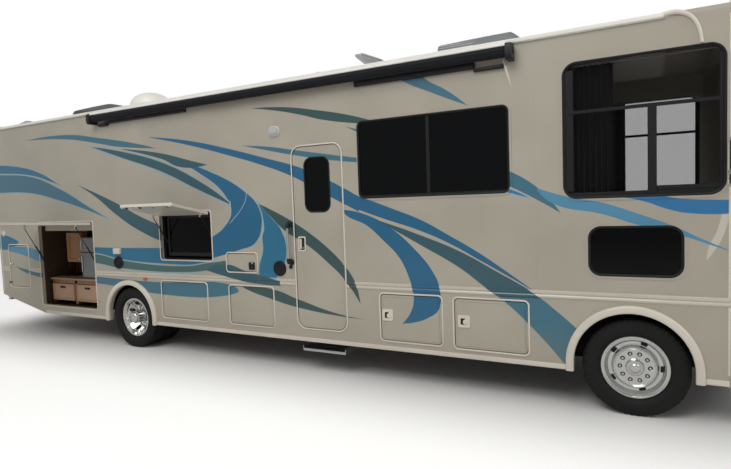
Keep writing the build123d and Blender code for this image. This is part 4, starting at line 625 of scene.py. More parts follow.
# %% [markdown]
# Each solid from the frame keeps its shape and takes the finish of the real piece.
# %% Finish of every node
FINISHES = {
    paint: ("kerb_wall", "kerb_skirt", "street_wall", "street_skirt", "entry_door", "bay_kerb_1",
            "bay_kerb_2", "bay_kerb_3", "bay_kerb_4", "bay_street_1", "bay_street_2", "bay_street_3",
            "utility_door_kerb", "front_cap", "slide_room", "rear_cap", "hatch_kerb"),
    galley_paint: ("galley_lid",),
    screen_paint: ("screen_lid",),
    trim_paint: ("body_trim",),
    champagne_and_highlight: ("rear_bumper", "mirrors"),
    roof_paint: ("roof",),
    shade_grey_shroud: ("roof_units",),
    tyre_rubber: ("tyre_front_kerb", "tyre_front_street", "tyres_rear_kerb", "tyres_rear_street"),
    chrome: ("rim_front_kerb", "rim_front_street", "rims_rear_kerb", "rims_rear_street"),
    dark_rod: ("galley_strut_rods", "screen_strut_rods"),
    cast_iron: ("knuckle_kerb", "knuckle_street", "rear_axle", "engine"),
    chassis_paint: ("front_axle", "chassis_frame", "galley_strut_tubes", "screen_strut_tubes", "step_arms",
                    "step_links"),
    exhaust_steel: ("driveline",),
    tank_plastic: ("fuel_tank",),
    undercoat: ("floor_boxes", "step_well"),
    floor_board: ("floor",),
    brushed: ("ladder", "step_tread"),
    black_plastic: ("awning", "grille"),
    side_glass: ("window_glass",),
    cab_glass: ("windscreen",),
    lamp_lens: ("lamps",),
    screen_black: ("screen_unit",),
    dark_wood: ("galley_unit",),
    vinyl: ("dash",),
    seat_leather: ("cab_seats",),
}
for finish, names in FINISHES.items():
    for name in names:
        mesh = frame["nodes"][name].data
        mesh.materials.clear()
        mesh.materials.append(finish)
covered = {name for names in FINISHES.values() for name in names}
print("without a finish:", sorted(set(frame["nodes"]) - covered))

# %% [markdown]
# Every added piece is a surface worked out as whole arrays of points. A net joins a grid of
# points into faces, and the helpers after it only say where the points go: rings of a rounded
# rectangle, circles about an axis, circles along a path, or a section carried along the vehicle.
# Boxes and cylinders with edge loops would do too, but a formula keeps every size in view.
# %% Surface helpers


def net(points, around=False, loop=False, caps=False):
    """Faces over a grid of points: rows, columns, and the three coordinates.

    Each face joins a point to the next in its row and to the same two in the next row. Around
    closes every row, loop joins the last row to the first, and caps close both end rows.
    """
    rows, columns = points.shape[:2]
    index = np.arange(rows * columns).reshape(rows, columns)
    wrapped = np.concatenate([index, index[:, :1]], 1) if around else index
    wrapped = np.concatenate([wrapped, wrapped[:1]], 0) if loop else wrapped
    quads = np.stack([wrapped[:-1, :-1], wrapped[:-1, 1:], wrapped[1:, 1:], wrapped[1:, :-1]], -1)
    faces = quads.reshape(-1, 4).tolist()
    if caps:
        faces += [index[0].tolist(), index[-1].tolist()]
    return points.reshape(-1, 3), faces


def piece(name, finish, body, *shapes, crease=35.0):
    """Joins shapes into one object with outward faces, sharp only past the crease angle."""
    points, faces, count = [], [], 0
    for more_points, more_faces in shapes:
        points.append(more_points)
        faces += [[i + count for i in face] for face in more_faces]
        count += len(more_points)
    mesh = bpy.data.meshes.new(name)
    mesh.from_pydata(np.concatenate(points).tolist(), [], faces)
    work = bmesh.new()
    work.from_mesh(mesh)
    bmesh.ops.recalc_face_normals(work, faces=work.faces)
    work.to_mesh(mesh)
    work.free()
    mesh.shade_smooth()
    mesh.set_sharp_from_angle(angle=math.radians(crease))
    mesh.materials.append(finish)
    made = bpy.data.objects.new(name, mesh)
    bpy.context.scene.collection.objects.link(made)
    print(name, "on", body, "has", len(faces), "faces")
    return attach(made, body)


def ring(rect, radius, inset, corner=6):
    """Places round a rectangle with round corners, pulled in by inset.

    Each corner is a quarter circle whose centre lies one radius in from both sides.
    """
    left, right, low, high = rect
    pull = max(radius, inset)
    small = max(radius - inset, 0.0003)
    angle = (np.arange(4)[:, None] + np.linspace(0, 1, corner)) * math.pi / 2
    along = np.array([right - pull, left + pull, left + pull, right - pull])[:, None]
    up = np.array([high - pull, high - pull, low + pull, low + pull])[:, None]
    return (along + small * np.cos(angle)).ravel(), (up + small * np.sin(angle)).ravel()


def plate(face, rect, radius, profile, corner=6, hollow=False):
    """A form over a rounded rectangle: each profile step, an inset and a height, is one ring.

    Hollow joins the last ring to the first, which makes a frame.
    """
    rings = [onto(face, *ring(rect, radius, inset, corner), out) for inset, out in profile]
    return net(np.array(rings), around=True, loop=hollow, caps=not hollow)


def stood(profile, out):
    """A profile moved outward."""
    return [(inset, height + out) for inset, height in profile]


def turned(face, along, up, profile, steps=40):
    """A round form about a face's outward direction: each step, a radius and a height, is a circle."""
    radius, out = np.array(profile, float).T[:, :, None]
    angle = np.linspace(0, 2 * math.pi, steps, endpoint=False)
    points = onto(face, along + radius * np.cos(angle), up + radius * np.sin(angle), out)
    return net(points, around=True, caps=True)


def softened(path, rounds=3):
    """Cuts each corner of a path at a quarter of both its sides, several times over."""
    path = np.asarray(path, float)
    for _ in range(rounds):
        first, second = path[:-1], path[1:]
        cut = np.stack([0.75 * first + 0.25 * second, 0.25 * first + 0.75 * second], 1).reshape(-1, 3)
        path = np.concatenate([path[:1], cut[1:-1], path[-1:]])
    return path


def tube(path, radius, sides=12):
    """A round tube: circles square to the path, about the axis that the path runs along least."""
    path = np.asarray(path, float)
    along = np.gradient(path, axis=0)
    along /= np.linalg.norm(along, axis=1, keepdims=True)
    spare = np.eye(3)[np.abs(along).max(0).argmin()]
    side = np.cross(along, spare)
    side /= np.linalg.norm(side, axis=1, keepdims=True)
    up = np.cross(side, along)
    angle = np.linspace(0, 2 * math.pi, sides, endpoint=False)[None, :, None]
    radius = np.broadcast_to(radius, len(path))[:, None, None]
    points = path[:, None] + radius * (np.cos(angle) * side[:, None] + np.sin(angle) * up[:, None])
    return net(points, around=True, caps=True)


def carried(section, start, end):
    """A section of (across, up) points, carried straight along the vehicle from start to end."""
    across, up = np.array(section, float).T
    rows = [np.stack([np.full_like(up, AXLE_X + x), CENTRE_Y + across, up], 1) for x in (start, end)]
    return net(np.array(rows), around=True, caps=True)


def spot(x, y, z):
    """A point from the front axle, the centreline and the ground."""
    return np.array([AXLE_X + x, CENTRE_Y + y, z])


# %% [markdown]
# A truck tyre has a ribbed tread with zigzag grooves, open notches at the shoulder, and raised
# rings on its sidewall. All of these are changes of radius, so one formula of the angle and the
# distance from the middle plane shapes the whole tyre from bead to bead.
# %% Tyres
TYRE_R = 0.4118
# Place across and radius of one sidewall, from the bead to the shoulder
TYRE_OUTLINE = ((-0.0732, 0.2485), (-0.0732, 0.2624), (-0.0865, 0.2674), (-0.106, 0.277), (-0.118, 0.294),
                (-0.1235, 0.315), (-0.124, 0.330), (-0.1225, 0.352), (-0.118, 0.376), (-0.111, 0.396),
                (-0.100, 0.4115))
GROOVES = (-0.062, -0.021, 0.021, 0.062)
GROOVE_HALF = 0.0055
GROOVE_DEPTH = 0.011
ZIGZAGS, SWING = 52, 0.005
NOTCH_DEPTH, NOTCH_OUT = 0.008, 0.086
TREAD_FROM, SHOULDER_FROM = 0.405, 0.374
SIDEWALL_RINGS = (0.352, 0.294)
RING_HALF, RING_RISE = 0.003, 0.002


def hump(value, half):
    """A soft step that is 1 within half of zero and falls to 0 over one third more."""
    return np.clip((half * 1.35 - np.abs(value)) / (half * 0.35), 0, 1)


def tyre_shape(hub_y, centre, steps=312):
    """Radius is the outline's, less the grooves and notches, plus the sidewall rings.

    The grooves swing to and fro with the angle, and the notches come where a wave of the angle
    is high and the point lies on the shoulder.
    """
    left = np.array(TYRE_OUTLINE)
    tread = np.stack([np.linspace(-0.098, 0.098, 66), np.full(66, TYRE_R)], 1)
    right = left[::-1] * (-1, 1)
    inner = np.array([(0.055, 0.2485), (0.100, 0.330), (0.080, 0.392), (-0.080, 0.392), (-0.100, 0.330),
                      (-0.055, 0.2485)])
    along, radius = np.concatenate([left, tread, right, inner]).T[:, :, None]
    angle = np.linspace(0, 2 * math.pi, steps, endpoint=False)[None]
    swing = SWING * (2 * np.abs((angle * ZIGZAGS / (2 * math.pi)) % 1 - 0.5) * 2 - 1)
    outer = np.zeros_like(along)
    outer[:len(left) + len(tread) + len(right)] = 1
    cut = sum(hump(along - place - swing, GROOVE_HALF) for place in GROOVES)
    cut = np.clip(cut, 0, 1) * GROOVE_DEPTH * (radius > TREAD_FROM)
    wave = np.cos(angle * ZIGZAGS) * np.ones_like(along)
    beside = np.clip((np.abs(along) - NOTCH_OUT) / 0.01, 0, 1)
    notch = np.clip(wave * 4 - 2.2, 0, 1) * NOTCH_DEPTH * beside * (radius > SHOULDER_FROM)
    rings = RING_RISE * sum(hump(radius - ring_radius, RING_HALF) for ring_radius in SIDEWALL_RINGS)
    bulge = np.sign(along) * rings * outer
    radius = radius - np.maximum(cut, notch) * outer
    points = np.stack([centre[0] + radius * np.sin(angle), hub_y + along + bulge * 0.5 + 0 * angle,
                       centre[2] + radius * np.cos(angle)], -1)
    return net(points, around=True, loop=True)


TWIN_SPACING = 0.278
for side in ("kerb", "street"):
    front = np.array(joints[f"spin_front_{side}"]["pos_m"])
    rear = np.array(joints[f"spin_rear_{side}"]["pos_m"])
    inward = 1 if side == "kerb" else -1
    made = piece(f"front_tyre_{side}", tyre_rubber, f"wheel_front_{side}", tyre_shape(front[1], front),
                 crease=50.0)
    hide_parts(f"tyre_front_{side}")
    for twin, y in (("outer", rear[1]), ("inner", rear[1] + inward * TWIN_SPACING)):
        made = piece(f"rear_tyre_{twin}_{side}", tyre_rubber, f"wheels_rear_{side}", tyre_shape(y, rear),
                     crease=50.0)
        if twin == "outer":
            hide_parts(f"tyres_rear_{side}")

# %% [markdown]
# The front wheels wear pressed stainless liners: two fine rings at the flange, a hollow with five
# hand holes, and a flat disc with a pocket for every nut round a stepped cap. A liner is one grid
# of angle and radius, so a pocket is only a dip in it. At the back the disc lies deep, near the
# inner tyre, so the CAD wheel shows, with covered nuts and a long cap over the axle's end.
# %% Wheels
NUTS = 10
HAND_HOLES = 5
LUG_CIRCLE = {"front": 0.1155, "rear": 0.1125}
# How far each disc lies outside the middle of its hub
RIM_FACE = {"front": 0.0775, "rear": -0.0695}
# Radius and height over the disc of a front liner, from its flange to its middle
LINER = ((0.2640, 0.0050), (0.2645, 0.0115), (0.2600, 0.0145), (0.2550, 0.0130), (0.2495, 0.0100),
         (0.2430, 0.0125), (0.2370, 0.0110), (0.2290, 0.0000), (0.2200, -0.0220), (0.2110, -0.0340),
         (0.1960, -0.0370), (0.1830, -0.0320), (0.1740, -0.0130), (0.1690, 0.0030), (0.1630, 0.0078),
         (0.1570, 0.0060), (0.1530, 0.0020), (0.1470, 0.0010), (0.0740, 0.0010), (0.0705, 0.0070),
         (0.0690, 0.0220), (0.0600, 0.0340), (0.0500, 0.0350), (0.0460, 0.0300), (0.0400, 0.0310),
         (0.0320, 0.0400), (0.0200, 0.0440), (0.0010, 0.0445))
# The flat disc between these two radii gets more rings, so that its pockets come out round
DISC = (0.147, 0.074)
DISC_RINGS = 28
POCKET_R, POCKET_DEPTH = 0.0185, 0.013
# The barrel behind it: radius and place along the axle
BARREL = ((0.2603, -0.0855), (0.2396, -0.0855), (0.2216, -0.0555), (0.2216, 0.0555), (0.2396, 0.0855),
          (0.2603, 0.0855), (0.2603, 0.0765), (0.2476, 0.0735), (0.2316, 0.0515), (0.2316, -0.0515),
          (0.2476, -0.0735), (0.2603, -0.0765))
# The small turned parts, as radius and height over the disc
COVER = ((0.017, 0.0), (0.0185, 0.003), (0.0185, 0.030), (0.0165, 0.037), (0.011, 0.042), (0.004, 0.044),
         (0.0005, 0.0443))
NUT = ((0.0108, -0.012), (0.0108, -0.003), (0.0090, 0.000), (0.0062, 0.0005), (0.0060, -0.002),
       (0.0005, -0.002))
# A black disc at the bottom of each nut pocket: painted shade in the recess round the nut
POCKET_SHADE = ((0.0142, -0.0130), (0.0142, -0.0114), (0.0135, -0.0110), (0.0005, -0.0110))
REAR_CAP = ((0.081, 0.150), (0.085, 0.154), (0.085, 0.162), (0.076, 0.168), (0.071, 0.190), (0.061, 0.200),
            (0.037, 0.207), (0.012, 0.210), (0.001, 0.2102))


def wheel_face(side, hub, face_out, angle=0.0):
    """A face at one wheel: its two directions in the disc's plane, turned by an angle, and outward."""
    c, s = math.cos(angle), math.sin(angle)
    return np.array([[hub[0], hub[1] + side * face_out, hub[2]], [c, 0, -s], [s, 0, c], [0, side, 0]],
                    float)


def hoop(face, section, steps=96):
    """A closed section of radius and height, carried once round a face's centre."""
    radius, out = np.array(section, float).T[:, :, None]
    angle = np.linspace(0, 2 * math.pi, steps, endpoint=False)[None]
    return net(onto(face, radius * np.cos(angle), radius * np.sin(angle), out), around=True, loop=True)


def liner(face):
    """The outline's height over the radius, less a round pocket at each nut.

    The angle is folded so that every nut comes to the same place, and the pocket is a soft step
    of the distance from there. A flat back closes the form.
    """
    outline = np.array(LINER)
    radius = outline[:, 0]
    radius = np.concatenate([radius[radius > DISC[0]], np.linspace(*DISC, DISC_RINGS),
                             radius[radius < DISC[1]]])[:, None]
    out = np.interp(-radius, -outline[:, 0], outline[:, 1])
    angle = np.linspace(0, 2 * math.pi, 240, endpoint=False)[None]
    pitch = 2 * math.pi / NUTS
    folded = (angle + pitch / 2) % pitch - pitch / 2
    far = np.hypot(radius * np.cos(folded) - LUG_CIRCLE["front"], radius * np.sin(folded))
    out = out - POCKET_DEPTH * np.clip((POCKET_R - far) / 0.004, 0, 1)
    points = onto(face, radius * np.cos(angle), radius * np.sin(angle), out)
    back = onto(face, radius[:1] * np.cos(angle) * 0.80, radius[:1] * np.sin(angle) * 0.80,
                np.full_like(angle, -0.045))
    return net(np.concatenate([back, points]), around=True, caps=True)


for side, sign in (("kerb", -1), ("street", 1)):
    hub = np.array(joints[f"spin_front_{side}"]["pos_m"])
    face, middle = wheel_face(sign, hub, RIM_FACE["front"]), wheel_face(sign, hub, 0.0)
    wheel = piece(f"front_wheel_{side}", chrome, f"wheel_front_{side}", liner(face), hoop(middle, BARREL))
    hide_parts(f"rim_front_{side}")
    turns = np.arange(NUTS) / NUTS * 2 * math.pi
    lugs = [(LUG_CIRCLE["front"] * math.cos(a), LUG_CIRCLE["front"] * math.sin(a)) for a in turns]
    piece(f"front_nuts_{side}", chrome, f"wheel_front_{side}",
          *[turned(face, *lug, NUT, 6) for lug in lugs])
    holes_and_pocket_shade = [plate(wheel_face(sign, hub, RIM_FACE["front"], a), (-0.027, 0.027, 0.188, 0.213), 0.010,
                   ((0, -0.040), (0, -0.0345), (0.002, -0.0335), (0.010, -0.0333)), 6)
             for a in 0.35 + np.arange(HAND_HOLES) / HAND_HOLES * 2 * math.pi]
    # Black patches in the hollow for the hand holes, and a black disc of painted shade at the bottom of
    # each nut pocket
    holes_and_pocket_shade += [turned(face, *lug, POCKET_SHADE, 20) for lug in lugs]
    piece(f"hand_holes_and_pocket_shade_{side}", gasket_rubber, f"wheel_front_{side}", *holes_and_pocket_shade)
    hub = np.array(joints[f"spin_rear_{side}"]["pos_m"])
    face = wheel_face(sign, hub, RIM_FACE["rear"])
    lugs = [(LUG_CIRCLE["rear"] * math.sin(a), LUG_CIRCLE["rear"] * math.cos(a)) for a in turns]
    covers = [turned(face, *lug, COVER, 20) for lug in lugs]
    piece(f"rear_nut_covers_{side}", chrome, f"wheels_rear_{side}", *covers)
    arc = np.linspace(0, 2 * math.pi, 9)[:-1]
    piece(f"rear_hub_cap_{side}", chrome, f"wheels_rear_{side}", turned(face, 0, 0, REAR_CAP, 48),
          hoop(face, list(zip(0.140 + 0.004 * np.cos(arc), 0.001 + 0.004 * np.sin(arc)))))

# %% [markdown]
# Dark sheets hang behind each wheel, beside the springs, and leave the axle free. They are painted
# shade: from outside they make the wheel arch dark, as the shadow under the vehicle makes it on the road.
# %% Sheets of painted shade behind the wheels
# Distance from the centreline, rear and front edge, lower and upper edge
SHADE_SHEETS = ((0.527, -0.560, -0.130, 0.270, 0.735), (0.527, 0.130, 0.530, 0.270, 0.735),
          (0.527, -0.130, 0.130, 0.600, 0.735), (0.630, -6.600, -6.330, 0.380, 0.735),
          (0.630, -5.980, -5.700, 0.380, 0.735), (0.630, -6.330, -5.980, 0.600, 0.735))
shade_sheets = []
for side in (-1, 1):
    for out, left, right, low, high in SHADE_SHEETS:
        shade_face = np.array([spot(0, side * out, 0), [1, 0, 0], [0, 0, 1], [0, side, 0]])
        shade_sheets.append(plate(shade_face, (left, right, low, high), 0.004,
                            ((0, 0), (0, 0.003), (0.003, 0.005), (0.02, 0.005)), 3))
piece("splash_aprons", undercoat, ROOT, *shade_sheets)

# %% [markdown]
# Windows sit in rubber. A gasket overlaps the panel outside and the glass inside, so its section
# is a low arch, carried round each opening as a closed frame. Two windows ride on a door and on the
# slide-out room, and get a dark pane of their own, as their glass is one solid with the panel.
# %% Window gaskets
# Inset from an opening's edge, and height over the wall
GASKET = ((-0.003, 0.004), (-0.003, 0.0075), (0.001, 0.0095), (0.009, 0.0085), (0.017, 0.002),
          (0.018, -0.007), (0.010, -0.007))
DOOR_GASKET = ((-0.005, -0.001), (-0.005, 0.003), (-0.001, 0.006), (0.006, 0.006), (0.012, 0.002),
               (0.013, -0.007), (0.006, -0.007))
# Rear and front edge from the front axle, lower and upper edge from the ground
FRONT_WINDOW = (-0.539, 0.628, 1.844, 2.986)
LOWER_WINDOW = (-0.345, 0.352, 1.190, 1.606)
MIDDLE_WINDOW = (-2.540, -0.997, 1.917, 2.704)
REAR_SIDE_WINDOW = (-8.500, -7.300, 1.950, 2.650)
DOOR_WINDOW = (-3.216, -2.894, 1.790, 2.382)
SLIDE_WINDOW = (-3.900, -2.300, 1.850, 2.620)
SIDE_WINDOWS = (("front", KERB, FRONT_WINDOW, 0.110), ("lower", KERB, LOWER_WINDOW, 0.100),
                ("middle", KERB, MIDDLE_WINDOW, 0.060), ("driver", STREET, FRONT_WINDOW, 0.110),
                ("driver_lower", STREET, LOWER_WINDOW, 0.100), ("bedroom", STREET, REAR_SIDE_WINDOW, 0.060))
for name, face, rect, radius in SIDE_WINDOWS:
    piece(f"gasket_{name}", gasket_rubber, ROOT, plate(face, rect, radius, GASKET, 10, hollow=True))
piece("gasket_door_window", gasket_rubber, "entry_door",
      plate(KERB, DOOR_WINDOW, 0.092, DOOR_GASKET, 10, hollow=True))
piece("door_pane", screen_black, "entry_door",
      *[plate(KERB, DOOR_WINDOW, 0.092, ((0.001, low), (0.001, high), (0.1, high)), 10)
        for low, high in ((-0.009, -0.0074), (-0.0135, -0.0148))])
SLIDE_FACE = 0.0278
piece("gasket_slide_window", gasket_rubber, "slide_room",
      plate(STREET, SLIDE_WINDOW, 0.060,
            stood(DOOR_GASKET[:5], SLIDE_FACE) + [(0.013, 0.006), (0.006, 0.006)], 10, hollow=True))
piece("slide_pane", screen_black, "slide_room",
      plate(STREET, SLIDE_WINDOW, 0.060, ((0.001, 0.005), (0.001, 0.0066), (0.1, 0.0066)), 10))

# %% [markdown]
# The cab's side window has a black printed border, a post and a rail, and the middle one has a
# slider's upright. All of them are thin flat bars laid on the glass, so one function makes them.
# %% Window bars


def bar_on(face, left, right, low, high, out, rise):
    """A flat bar with softened edges on a face."""
    soft = min(0.25 * min(right - left, high - low), 0.003)
    profile = ((0, out), (0, out + rise - soft), (soft, out + rise),
               (min(right - left, high - low) / 2.2, out + rise))
    return plate(face, (left, right, low, high), soft, profile, 3)


GLASS_OUT = -0.008
BORDER = 0.085
POST = (0.101, 0.166)
RAIL_Z = (2.555, 2.585)
for name, face in (("front", KERB), ("driver", STREET)):
    left, right, low, high = FRONT_WINDOW
    bars = [
        bar_on(face, left, left + BORDER, low + 0.06, high - 0.06, GLASS_OUT, 0.0015),
        bar_on(face, left, right, low, low + 0.050, GLASS_OUT, 0.0014),
        bar_on(face, *POST, low + 0.02, RAIL_Z[1], GLASS_OUT, 0.006),
        bar_on(face, left + 0.05, right - 0.02, *RAIL_Z, GLASS_OUT, 0.004),
        bar_on(face, POST[1], right - 0.03, low + 0.050, low + 0.085, GLASS_OUT, 0.004),
        bar_on(face, right - 0.045, right, low + 0.06, high - 0.06, GLASS_OUT, 0.0015),
    ]
    piece(f"window_bars_{name}", gasket_rubber, ROOT, *bars)
left, right, low, high = MIDDLE_WINDOW
piece("middle_window_slider", gasket_rubber, ROOT,
      bar_on(KERB, -1.792, -1.757, low + 0.01, high - 0.01, GLASS_OUT, 0.005),
      bar_on(KERB, left + 0.01, right - 0.01, low + 0.005, low + 0.030, GLASS_OUT, 0.004))

# %% [markdown]
# The entry door has a recessed paddle handle, a key lock, and a grab bar beside it on the wall.
# A speaker and a porch lamp sit next to them. Each is a low plate or a turned disc whose profile
# steps give the bezel, the recess and the lens.
# %% Door fittings
BEZEL = ((0, 0), (0, 0.006), (0.003, 0.009), (0.010, 0.010), (0.016, 0.006), (0.019, 0.001),
         (0.019, -0.001))
HANDLE = (-3.330, -3.230, 1.358, 1.526)


def inside_of(rect, by):
    """The rectangle that lies by a distance inside another."""
    return rect[0] + by, rect[1] - by, rect[2] + by, rect[3] - by


piece("door_handle_bezel", champagne_and_highlight, "entry_door", plate(KERB, HANDLE, 0.018, BEZEL, hollow=True),
      plate(KERB, (-3.302, -3.282, 1.386, 1.500), 0.008,
            ((0, 0), (0, 0.012), (0.004, 0.016), (0.008, 0.017))))
piece("door_handle", black_plastic, "entry_door",
      plate(KERB, inside_of(HANDLE, 0.016), 0.010, ((0, 0), (0, 0.001), (0.004, 0.0015), (0.02, 0.0015))))
piece("door_lock", chrome, "entry_door",
      turned(KERB, -3.262, 1.400, ((0.009, 0), (0.009, 0.006), (0.007, 0.008), (0.001, 0.008)), 20))

GRAB_X, GRAB_Z = -3.432, (1.238, 1.666)
grab_ends = [onto(KERB, GRAB_X + np.zeros(4), np.array([z, z, z + s * 0.010, z + s * 0.045]),
                  np.array([0.0, 0.045, 0.056, 0.058]))
             for z, s in ((GRAB_Z[0], 1), (GRAB_Z[1], -1))]
piece("grab_bar", brushed, ROOT,
      tube(onto(KERB, GRAB_X + np.zeros(6), np.linspace(GRAB_Z[0] + 0.04, GRAB_Z[1] - 0.04, 6), 0.058),
           0.014))
piece("grab_bar_sockets", black_plastic, ROOT, *[tube(softened(path), 0.023) for path in grab_ends],
      *[turned(KERB, GRAB_X, z, ((0.036, 0), (0.036, 0.008), (0.030, 0.018), (0.022, 0.022)))
        for z in GRAB_Z])
piece("wall_lock", black_plastic, ROOT,
      turned(KERB, -3.444, 1.183, ((0.022, 0), (0.022, 0.010), (0.016, 0.016), (0.002, 0.016)), 24))

SPEAKER = ((0.088, 0.0), (0.088, 0.008), (0.082, 0.016), (0.074, 0.018), (0.070, 0.012), (0.064, 0.012),
           (0.060, 0.017), (0.054, 0.017), (0.050, 0.012), (0.044, 0.012), (0.040, 0.017), (0.034, 0.017),
           (0.030, 0.012), (0.020, 0.012), (0.016, 0.018), (0.002, 0.019))
# The round inlet has the same ringed face, a little smaller and deeper
INLET = [(radius * 0.965, height * 1.4) for radius, height in SPEAKER]
piece("wall_speaker", black_plastic, ROOT, turned(KERB, -3.598, 1.162, SPEAKER, 48))
piece("round_inlet", black_plastic, ROOT, turned(KERB, -6.343, 1.171, INLET, 48))

PORCH = (-3.676, -3.516, 2.647, 2.761)
piece("porch_lamp_base", white_plastic, ROOT,
      plate(KERB, PORCH, 0.055, ((0, 0), (0, 0.010), (0.006, 0.018), (0.012, 0.019), (0.015, 0.015)), 8))
piece("porch_lamp_lens", clear_lens, ROOT,
      plate(KERB, inside_of(PORCH, 0.014), 0.042,
            ((0, 0.012), (0.001, 0.030), (0.010, 0.042), (0.025, 0.048), (0.040, 0.050)), 8))

# %% [markdown]
# The bay doors shut with square paddle latches: a painted bezel, a dark cup, and a paddle that
# stands in it. Small doors have round key locks. Each latch rides on its own door, so one function
# takes the door's name and its place, and makes the latch's three parts.
# %% Latches


def paddle_latch(body, face, along, up, half=0.060, finish=champagne_and_highlight):
    """A broad bezel with a narrow dark slot at one side of a round-edged paddle, riding on its door."""
    rect = (along - half, along + half, up - half, up + half)
    piece(f"latch_bezel_{body}", finish, body,
          plate(face, rect, 0.014,
                ((0, 0), (0, 0.007), (0.004, 0.011), (half * 0.30, 0.009), (half * 0.5, 0.009)), 6),
          plate(face, (along - half * 0.12, along + half * 0.55, up - half * 0.45, up + half * 0.30),
                half * 0.3, ((0, 0.004), (0, 0.015), (0.004, 0.019), (0.010, 0.020)), 6))
    piece(f"latch_slot_{body}", gasket_rubber, body,
          plate(face, (along - half * 0.52, along + half * 0.20, up - half * 0.50, up + half * 0.50), 0.008,
                ((0, 0.002), (0, 0.0095), (0.002, 0.0100), (0.015, 0.0100)), 5))
    piece(f"latch_key_{body}", chrome, body,
          turned(face, along + half * 0.2, up + half * 0.68,
                 ((0.0075, 0), (0.0075, 0.013), (0.0055, 0.0145), (0.001, 0.0145)), 16))


def key_lock(body, face, along, up, radius=0.016):
    """A round lock barrel with a raised collar."""
    piece(f"key_lock_{body}", chrome, body,
          turned(face, along, up, ((radius, 0), (radius, 0.004), (radius * 0.8, 0.008),
                                   (radius * 0.5, 0.008), (radius * 0.45, 0.006), (0.001, 0.006)), 24))


paddle_latch("bay_kerb_3", KERB, -2.255, 0.719)
paddle_latch("bay_kerb_4", KERB, -1.452, 0.711)
paddle_latch("hatch_kerb", KERB, -4.004, 1.180, 0.044, black_plastic)
key_lock("bay_kerb_1", KERB, -5.470, 0.72)
key_lock("bay_kerb_2", KERB, -4.310, 0.72)
for name, along in (("bay_street_1", -5.460), ("bay_street_2", -4.300), ("bay_street_3", -2.270)):
    paddle_latch(name, STREET, along, 0.715)

# %% [markdown]
# The other small fittings along the side are a water filler, the utility door's knob, a power
# outlet under its flap and the marker lamps. A turned profile or a low plate is enough for each,
# as they are only a few centimetres across.
# %% Side fittings
FILLER = ((0.047, 0.0), (0.047, 0.006), (0.042, 0.012), (0.030, 0.014), (0.027, 0.020), (0.002, 0.021))
piece("filler_cap", white_plastic, ROOT, turned(KERB, -9.097, 1.582, FILLER, 36))
piece("utility_knob", chrome, "utility_door_kerb",
      turned(KERB, -8.913, 1.092,
             ((0.030, 0), (0.030, 0.004), (0.014, 0.008), (0.011, 0.022), (0.020, 0.030), (0.022, 0.038),
              (0.016, 0.045), (0.001, 0.046)), 32))
OUTLET = (-6.415, -6.285, 1.289, 1.371)
piece("outlet_cover", white_plastic, ROOT,
      plate(KERB, OUTLET, 0.010, ((0, 0), (0, 0.026), (0.004, 0.034), (0.014, 0.037), (0.030, 0.038))))
MARKERS = ((KERB, -5.832, 0.961), (STREET, -5.832, 0.961), (KERB, -8.98, 0.800), (STREET, -8.98, 0.800))
for number, (face, along, up) in enumerate(MARKERS):
    lens = amber_lens if number < 2 else red_lens
    piece(f"marker_lamp_{number}", lens, ROOT,
          plate(face, (along - 0.032, along + 0.032, up - 0.015, up + 0.015), 0.008,
                ((0, 0), (0, 0.014), (0.003, 0.019), (0.010, 0.021))))

# %% [markdown]
# The awning is a roll of canvas on a long tube, held by a black bracket at each end, with its
# folded arms flat on the wall. A white cover over it sheds the rain. The gutter above turns down
# round the cab's corner at the front. The roll's end shows its turns as a spiral step.
# %% Awning and gutter
AWNING_X = (-6.600, -0.990)
AWNING_Z, AWNING_R = 3.148, 0.054
AWNING_OUT = 0.078
CLOTH_STEP = 0.004
# Rear and front end, lower and upper edge of each folded arm
ARMS = ((-6.420, -4.926, 3.064, 3.098), (-2.545, -1.290, 3.052, 3.106),
        (-1.300, -1.030, 3.024, 3.056), (-6.560, -6.380, 3.040, 3.070))


def canvas_roll():
    """Radius falls by one cloth's thickness once round, so the outer edge is a small step."""
    angle = np.linspace(0, 2 * math.pi, 49)
    radius = AWNING_R - CLOTH_STEP * angle / (2 * math.pi)
    rows = [onto(KERB, x + 0 * angle, AWNING_Z + radius * np.sin(angle),
                 AWNING_OUT + radius * np.cos(angle))
            for x in np.linspace(AWNING_X[0] + 0.005, AWNING_X[1] - 0.005, 40)]
    return net(np.array(rows), around=True, caps=True)


roll = piece("awning_roll", canvas, ROOT, canvas_roll())
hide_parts("awning")
end_frames = []
for x, inward in ((AWNING_X[0], 1), (AWNING_X[1], -1)):
    end = np.array([[AXLE_X + x - inward * 0.030, CENTRE_Y - HALF_BODY - AWNING_OUT, AWNING_Z],
                    [0, -1, 0], [0, 0, 1], [-inward, 0, 0]], float)
    end_frames += [
        plate(end, (-0.066, 0.064, -0.078, 0.064), 0.034,
              ((0.012, -0.030), (0, -0.026), (0, 0.022), (0.008, 0.030), (0.03, 0.030))),
        turned(end, 0.0, 0.0, ((0.030, 0.028), (0.030, 0.034), (0.020, 0.038), (0.002, 0.039)), 24),
        plate(end, (-0.079, -0.055, -0.078, 0.050), 0.004,
              ((0.002, -0.026), (0, -0.024), (0, 0.022), (0.004, 0.026))),
    ]
arms = [plate(KERB, rect, 0.006, ((0, 0.001), (0, 0.030), (0.004, 0.036), (0.012, 0.037)), 4)
        for rect in ARMS]
piece("awning_brackets", black_plastic, ROOT, *end_frames)
piece("awning_arms", black_plastic, ROOT, *arms)
piece("awning_rail", roof_white, ROOT,
      carried([(-1.2705, 3.204), (-1.318, 3.208), (-1.384, 3.186), (-1.392, 3.187), (-1.396, 3.194),
               (-1.392, 3.204), (-1.360, 3.226), (-1.318, 3.242), (-1.290, 3.247), (-1.2705, 3.248)],
              AWNING_X[0], AWNING_X[1]))
